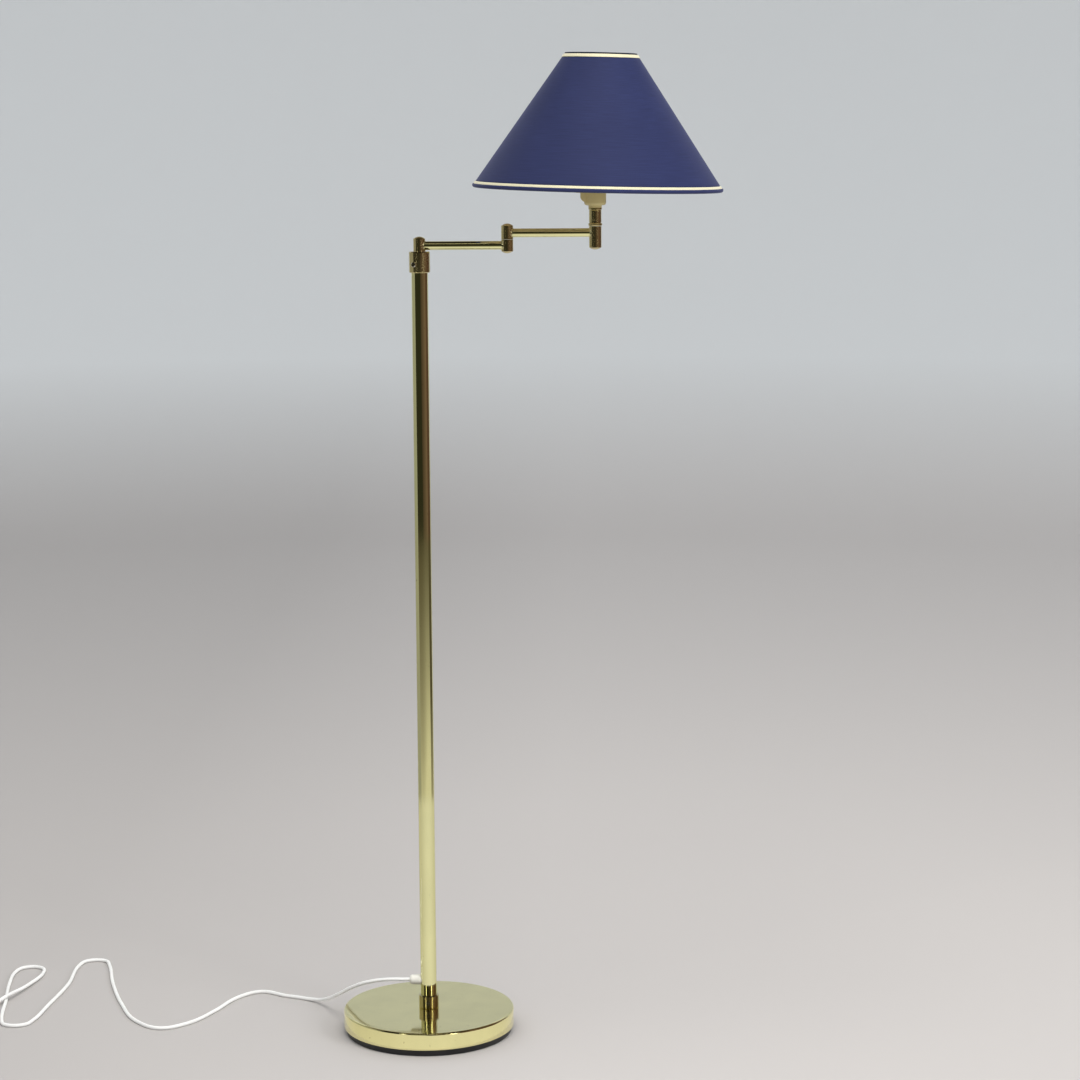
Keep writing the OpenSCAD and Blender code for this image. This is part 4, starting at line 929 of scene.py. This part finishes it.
        # the paper looks warmer where it lies and cooler up the wall; painted shade makes the
        # floor greyer to the left
        place = add_node(tree, "ShaderNodeSeparateXYZ", links={0: coordinates(tree)})
        # painted shade: the floor's colour is darkened towards the left
        left = spread(tree, place.outputs["X"], 1.0, 0.0, low_in=-0.6, high_in=0.15)
        floor_painted_shade = blend(tree, left, settings.floor_colour, rgba(settings.floor_colour, 0.86))
        rise = spread(tree, place.outputs["Z"], 0.0, 1.0, low_in=0.0, high_in=self.WALL_TONE_H)
        tone = blend(tree, rise, floor_painted_shade, settings.wall_colour)
        tree.links.new(tone, shader.inputs["Base Color"])
        self.stage_mesh("studio_room", points, faces, material)

    def soft_light(self, name, place, aim, size, power, colour):
        """A soft light. The screens stand in for it in what the brass mirrors."""
        data = bpy.data.lights.new(name, "AREA")
        data.shape = "RECTANGLE"
        data.size, data.size_y = size
        data.energy = power
        data.color = hex_colour(colour)
        lamp = bpy.data.objects.new(name, data)
        lamp.location = place
        lamp.rotation_mode = "QUATERNION"
        lamp.rotation_quaternion = (Vector(aim) - Vector(place)).to_track_quat("-Z", "Y")
        lamp.visible_camera = False
        lamp.visible_glossy = False
        bpy.context.scene.collection.objects.link(lamp)

    def screen(self, name, turns, spans, place, first, last=None, tone=None, power=1.0):
        """A screen of the dim room, which only gloss sees: the brass mirrors it. It is a grid
        over turns (degrees from the front to the right) and spans. place(turn, span) gives a
        point, and tone(turn, span) a place between the colours first and last."""
        steps = self.SCREEN_STEPS
        points, tones, faces = [], [], []
        for i in range(steps + 1):
            turn = turns[0] + (turns[1] - turns[0]) * i / steps
            for k in range(steps + 1):
                span = spans[0] + (spans[1] - spans[0]) * k / steps
                points.append(place(math.radians(turn), span))
                tones.append(min(1.0, max(0.0, tone(turn, span))) if tone else 0.0)
        row = steps + 1
        for i in range(steps):
            for k in range(steps):
                a = i * row + k
                faces.append((a, a + 1, a + row + 1, a + row))
        material = bpy.data.materials.new(name)
        material.use_nodes = True
        tree = material.node_tree
        tree.nodes.remove(tree.nodes["Principled BSDF"])
        glow = add_node(tree, "ShaderNodeEmission", {"Color": rgba(first), "Strength": power})
        if last:
            along = add_node(tree, "ShaderNodeSeparateXYZ",
                             links={0: coordinates(tree, "UV")})
            tree.links.new(blend(tree, along.outputs["X"], first, last),
                           glow.inputs["Color"])
        tree.links.new(glow.outputs[0], tree.nodes["Material Output"].inputs["Surface"])
        screen = self.stage_mesh(name, points, faces, material, tones)
        screen.visible_camera = False
        screen.visible_diffuse = False
        screen.visible_transmission = False
        screen.visible_volume_scatter = False
        screen.visible_shadow = False

    def flat(self, turn, radius, height=LYING_H):
        """A point on the floor, or at another height."""
        return (radius * math.sin(turn), -radius * math.cos(turn), height)

    def upright(self, turn, height):
        """A point of the round wall of screens."""
        return self.flat(turn, self.SCREEN_R, height)

    def window(self, turn, height):
        """A point just inside that wall."""
        return self.flat(turn, self.SCREEN_R - self.WINDOW_NEARER, height)

    def overhead(self, turn, radius):
        """A point of the ceiling."""
        return self.flat(turn, radius, self.SCREEN_H)

    def panel(self, turn, radius):
        """A point just under the ceiling."""
        return self.flat(turn, radius, self.SCREEN_H - self.PANEL_LOWER)

    def execute(self, context):
        scene = context.scene
        settings = scene.lamp_studio
        world = bpy.data.worlds.new("studio_air")
        world.use_nodes = True
        air = world.node_tree.nodes["Background"]
        air.inputs["Color"].default_value = rgba(settings.air_colour)
        air.inputs["Strength"].default_value = settings.air_strength
        scene.world = world
        self.room(settings)
        self.soft_light("ceiling_softbox", place=(0.4, -1.3, 4.4), aim=(0.1, -0.3, 0.0),
                        size=(3.0, 3.0), power=settings.ceiling_power, colour="#FFFAF2")
        self.soft_light("key_softbox", place=(3.4, -2.7, 2.3), aim=(0.2, 0.0, 1.1),
                        size=(1.6, 2.2), power=settings.key_power, colour="#FFFFFF")
        self.walls()
        self.floors()
        self.ceilings()
        for name, turns in (("left_window", (-36, -30)), ("right_window", (40, 49))):
            self.screen(name, turns, self.WINDOW_SPAN, self.window, "#F6F2E2", power=3.2)
        scene.view_settings.view_transform = "Standard"
        return {"FINISHED"}

    def walls(self):
        """The sides of the room: pale on the left, dark in front, brown on the right."""
        tall = (0.0, self.SCREEN_H)
        warm_width = self.WARM_END - self.DARK_END
        self.screen("pale_side", (self.LEFT_END, self.PALE_END), tall, self.upright, "#9E9E96")
        self.screen("dark_side", (self.PALE_END, self.DARK_END), tall, self.upright, "#2D2C20")
        self.screen("warm_side", (self.DARK_END, self.WARM_END), tall, self.upright,
                    "#43392F", "#796357",
                    lambda turn, height: (turn - self.DARK_END) / warm_width)
        self.screen("brown_side", (self.WARM_END, self.RIGHT_END), tall, self.upright,
                    "#58433A")

    def floors(self):
        """The floor as the brass sees it, bright near the base and dimmer far from it."""
        far = (self.NEAR_R, self.SCREEN_R)
        self.screen("near_floor", (self.LEFT_END, self.RIGHT_END), (self.FOOT_R, self.NEAR_R),
                    self.flat, "#E8E5DE", "#CBC7BB", self.side_fall)
        self.screen("pale_floor", (self.LEFT_END, self.PALE_END), far, self.flat, "#9E9D94")
        self.screen("front_floor", (self.PALE_END, self.WARM_END), far, self.flat,
                    "#D8D3C4", "#40361F", self.floor_fall)
        self.screen("brown_floor", (self.WARM_END, self.RIGHT_END), far, self.flat,
                    "#9D988A", "#514B3C", lambda turn, radius: (radius - self.NEAR_R) / 0.9)

    def ceilings(self):
        """The ceiling: dark in front, lighter behind, with one bright panel in front."""
        wide = (0.0, self.SCREEN_R)
        self.screen("dark_ceiling", (-90, 90), wide, self.overhead, "#1D1812")
        self.screen("back_ceiling", (90, 270), wide, self.overhead, "#1D1812", "#6E6557",
                    lambda turn, radius: (-math.cos(math.radians(turn)) * radius - 0.3) / 1.8)
        self.screen("ceiling_panel", (-42, 34), (2.35, 2.8), self.panel, "#F6ECD4", power=1.4)

    @staticmethod
    def side_fall(turn, _):
        """The near floor is brightest at 25 degrees to the right and dims to both sides."""
        return math.sin(math.radians(turn - 25) * 0.65) ** 2

    @staticmethod
    def floor_fall(turn, radius):
        """The floor dims with distance, and sooner on the left."""
        start = 1.0 + 0.7 * min(1.0, max(0.0, (turn + 25) / 60))
        return 1 - math.exp(-0.8 * max(0.0, radius - start))


OPERATORS = (LAMP_OT_camera, LAMP_OT_cord, LAMP_OT_brass, LAMP_OT_inner, LAMP_OT_brazing,
             LAMP_OT_holder, LAMP_OT_shade, LAMP_OT_studio)


class LAMP_PT_panel(bpy.types.Panel):
    """Lists the lamp's operators and sizes in the sidebar"""

    bl_idname = "LAMP_PT_panel"
    bl_label = "Bridge floor lamp"
    bl_space_type = "VIEW_3D"
    bl_region_type = "UI"
    bl_category = "Lamp"

    def draw(self, context):
        for operator in OPERATORS:
            self.layout.operator(operator.bl_idname)
        scene = context.scene
        for settings in (scene.lamp_sizes, scene.lamp_colours, scene.lamp_studio):
            box = self.layout.box()
            for name in settings.__annotations__:
                box.prop(settings, name)


CLASSES = (LampSizes, LampColours, LampStudio, *OPERATORS, LAMP_PT_panel)


def register():
    for cls in CLASSES:
        bpy.utils.register_class(cls)
    bpy.types.Scene.lamp_sizes = PointerProperty(type=LampSizes)
    bpy.types.Scene.lamp_colours = PointerProperty(type=LampColours)
    bpy.types.Scene.lamp_studio = PointerProperty(type=LampStudio)


def unregister():
    del bpy.types.Scene.lamp_studio
    del bpy.types.Scene.lamp_colours
    del bpy.types.Scene.lamp_sizes
    for cls in reversed(CLASSES):
        bpy.utils.unregister_class(cls)


def main():
    register()
    FINISHES.update(make_materials(bpy.context.scene.lamp_colours))
    bpy.ops.lamp.camera()
    bpy.ops.lamp.cord()
    bpy.ops.lamp.brass()
    bpy.ops.lamp.inner()
    bpy.ops.lamp.brazing()
    bpy.ops.lamp.holder()
    bpy.ops.lamp.shade()
    bpy.ops.lamp.studio()


if __name__ == "__main__":
    main()
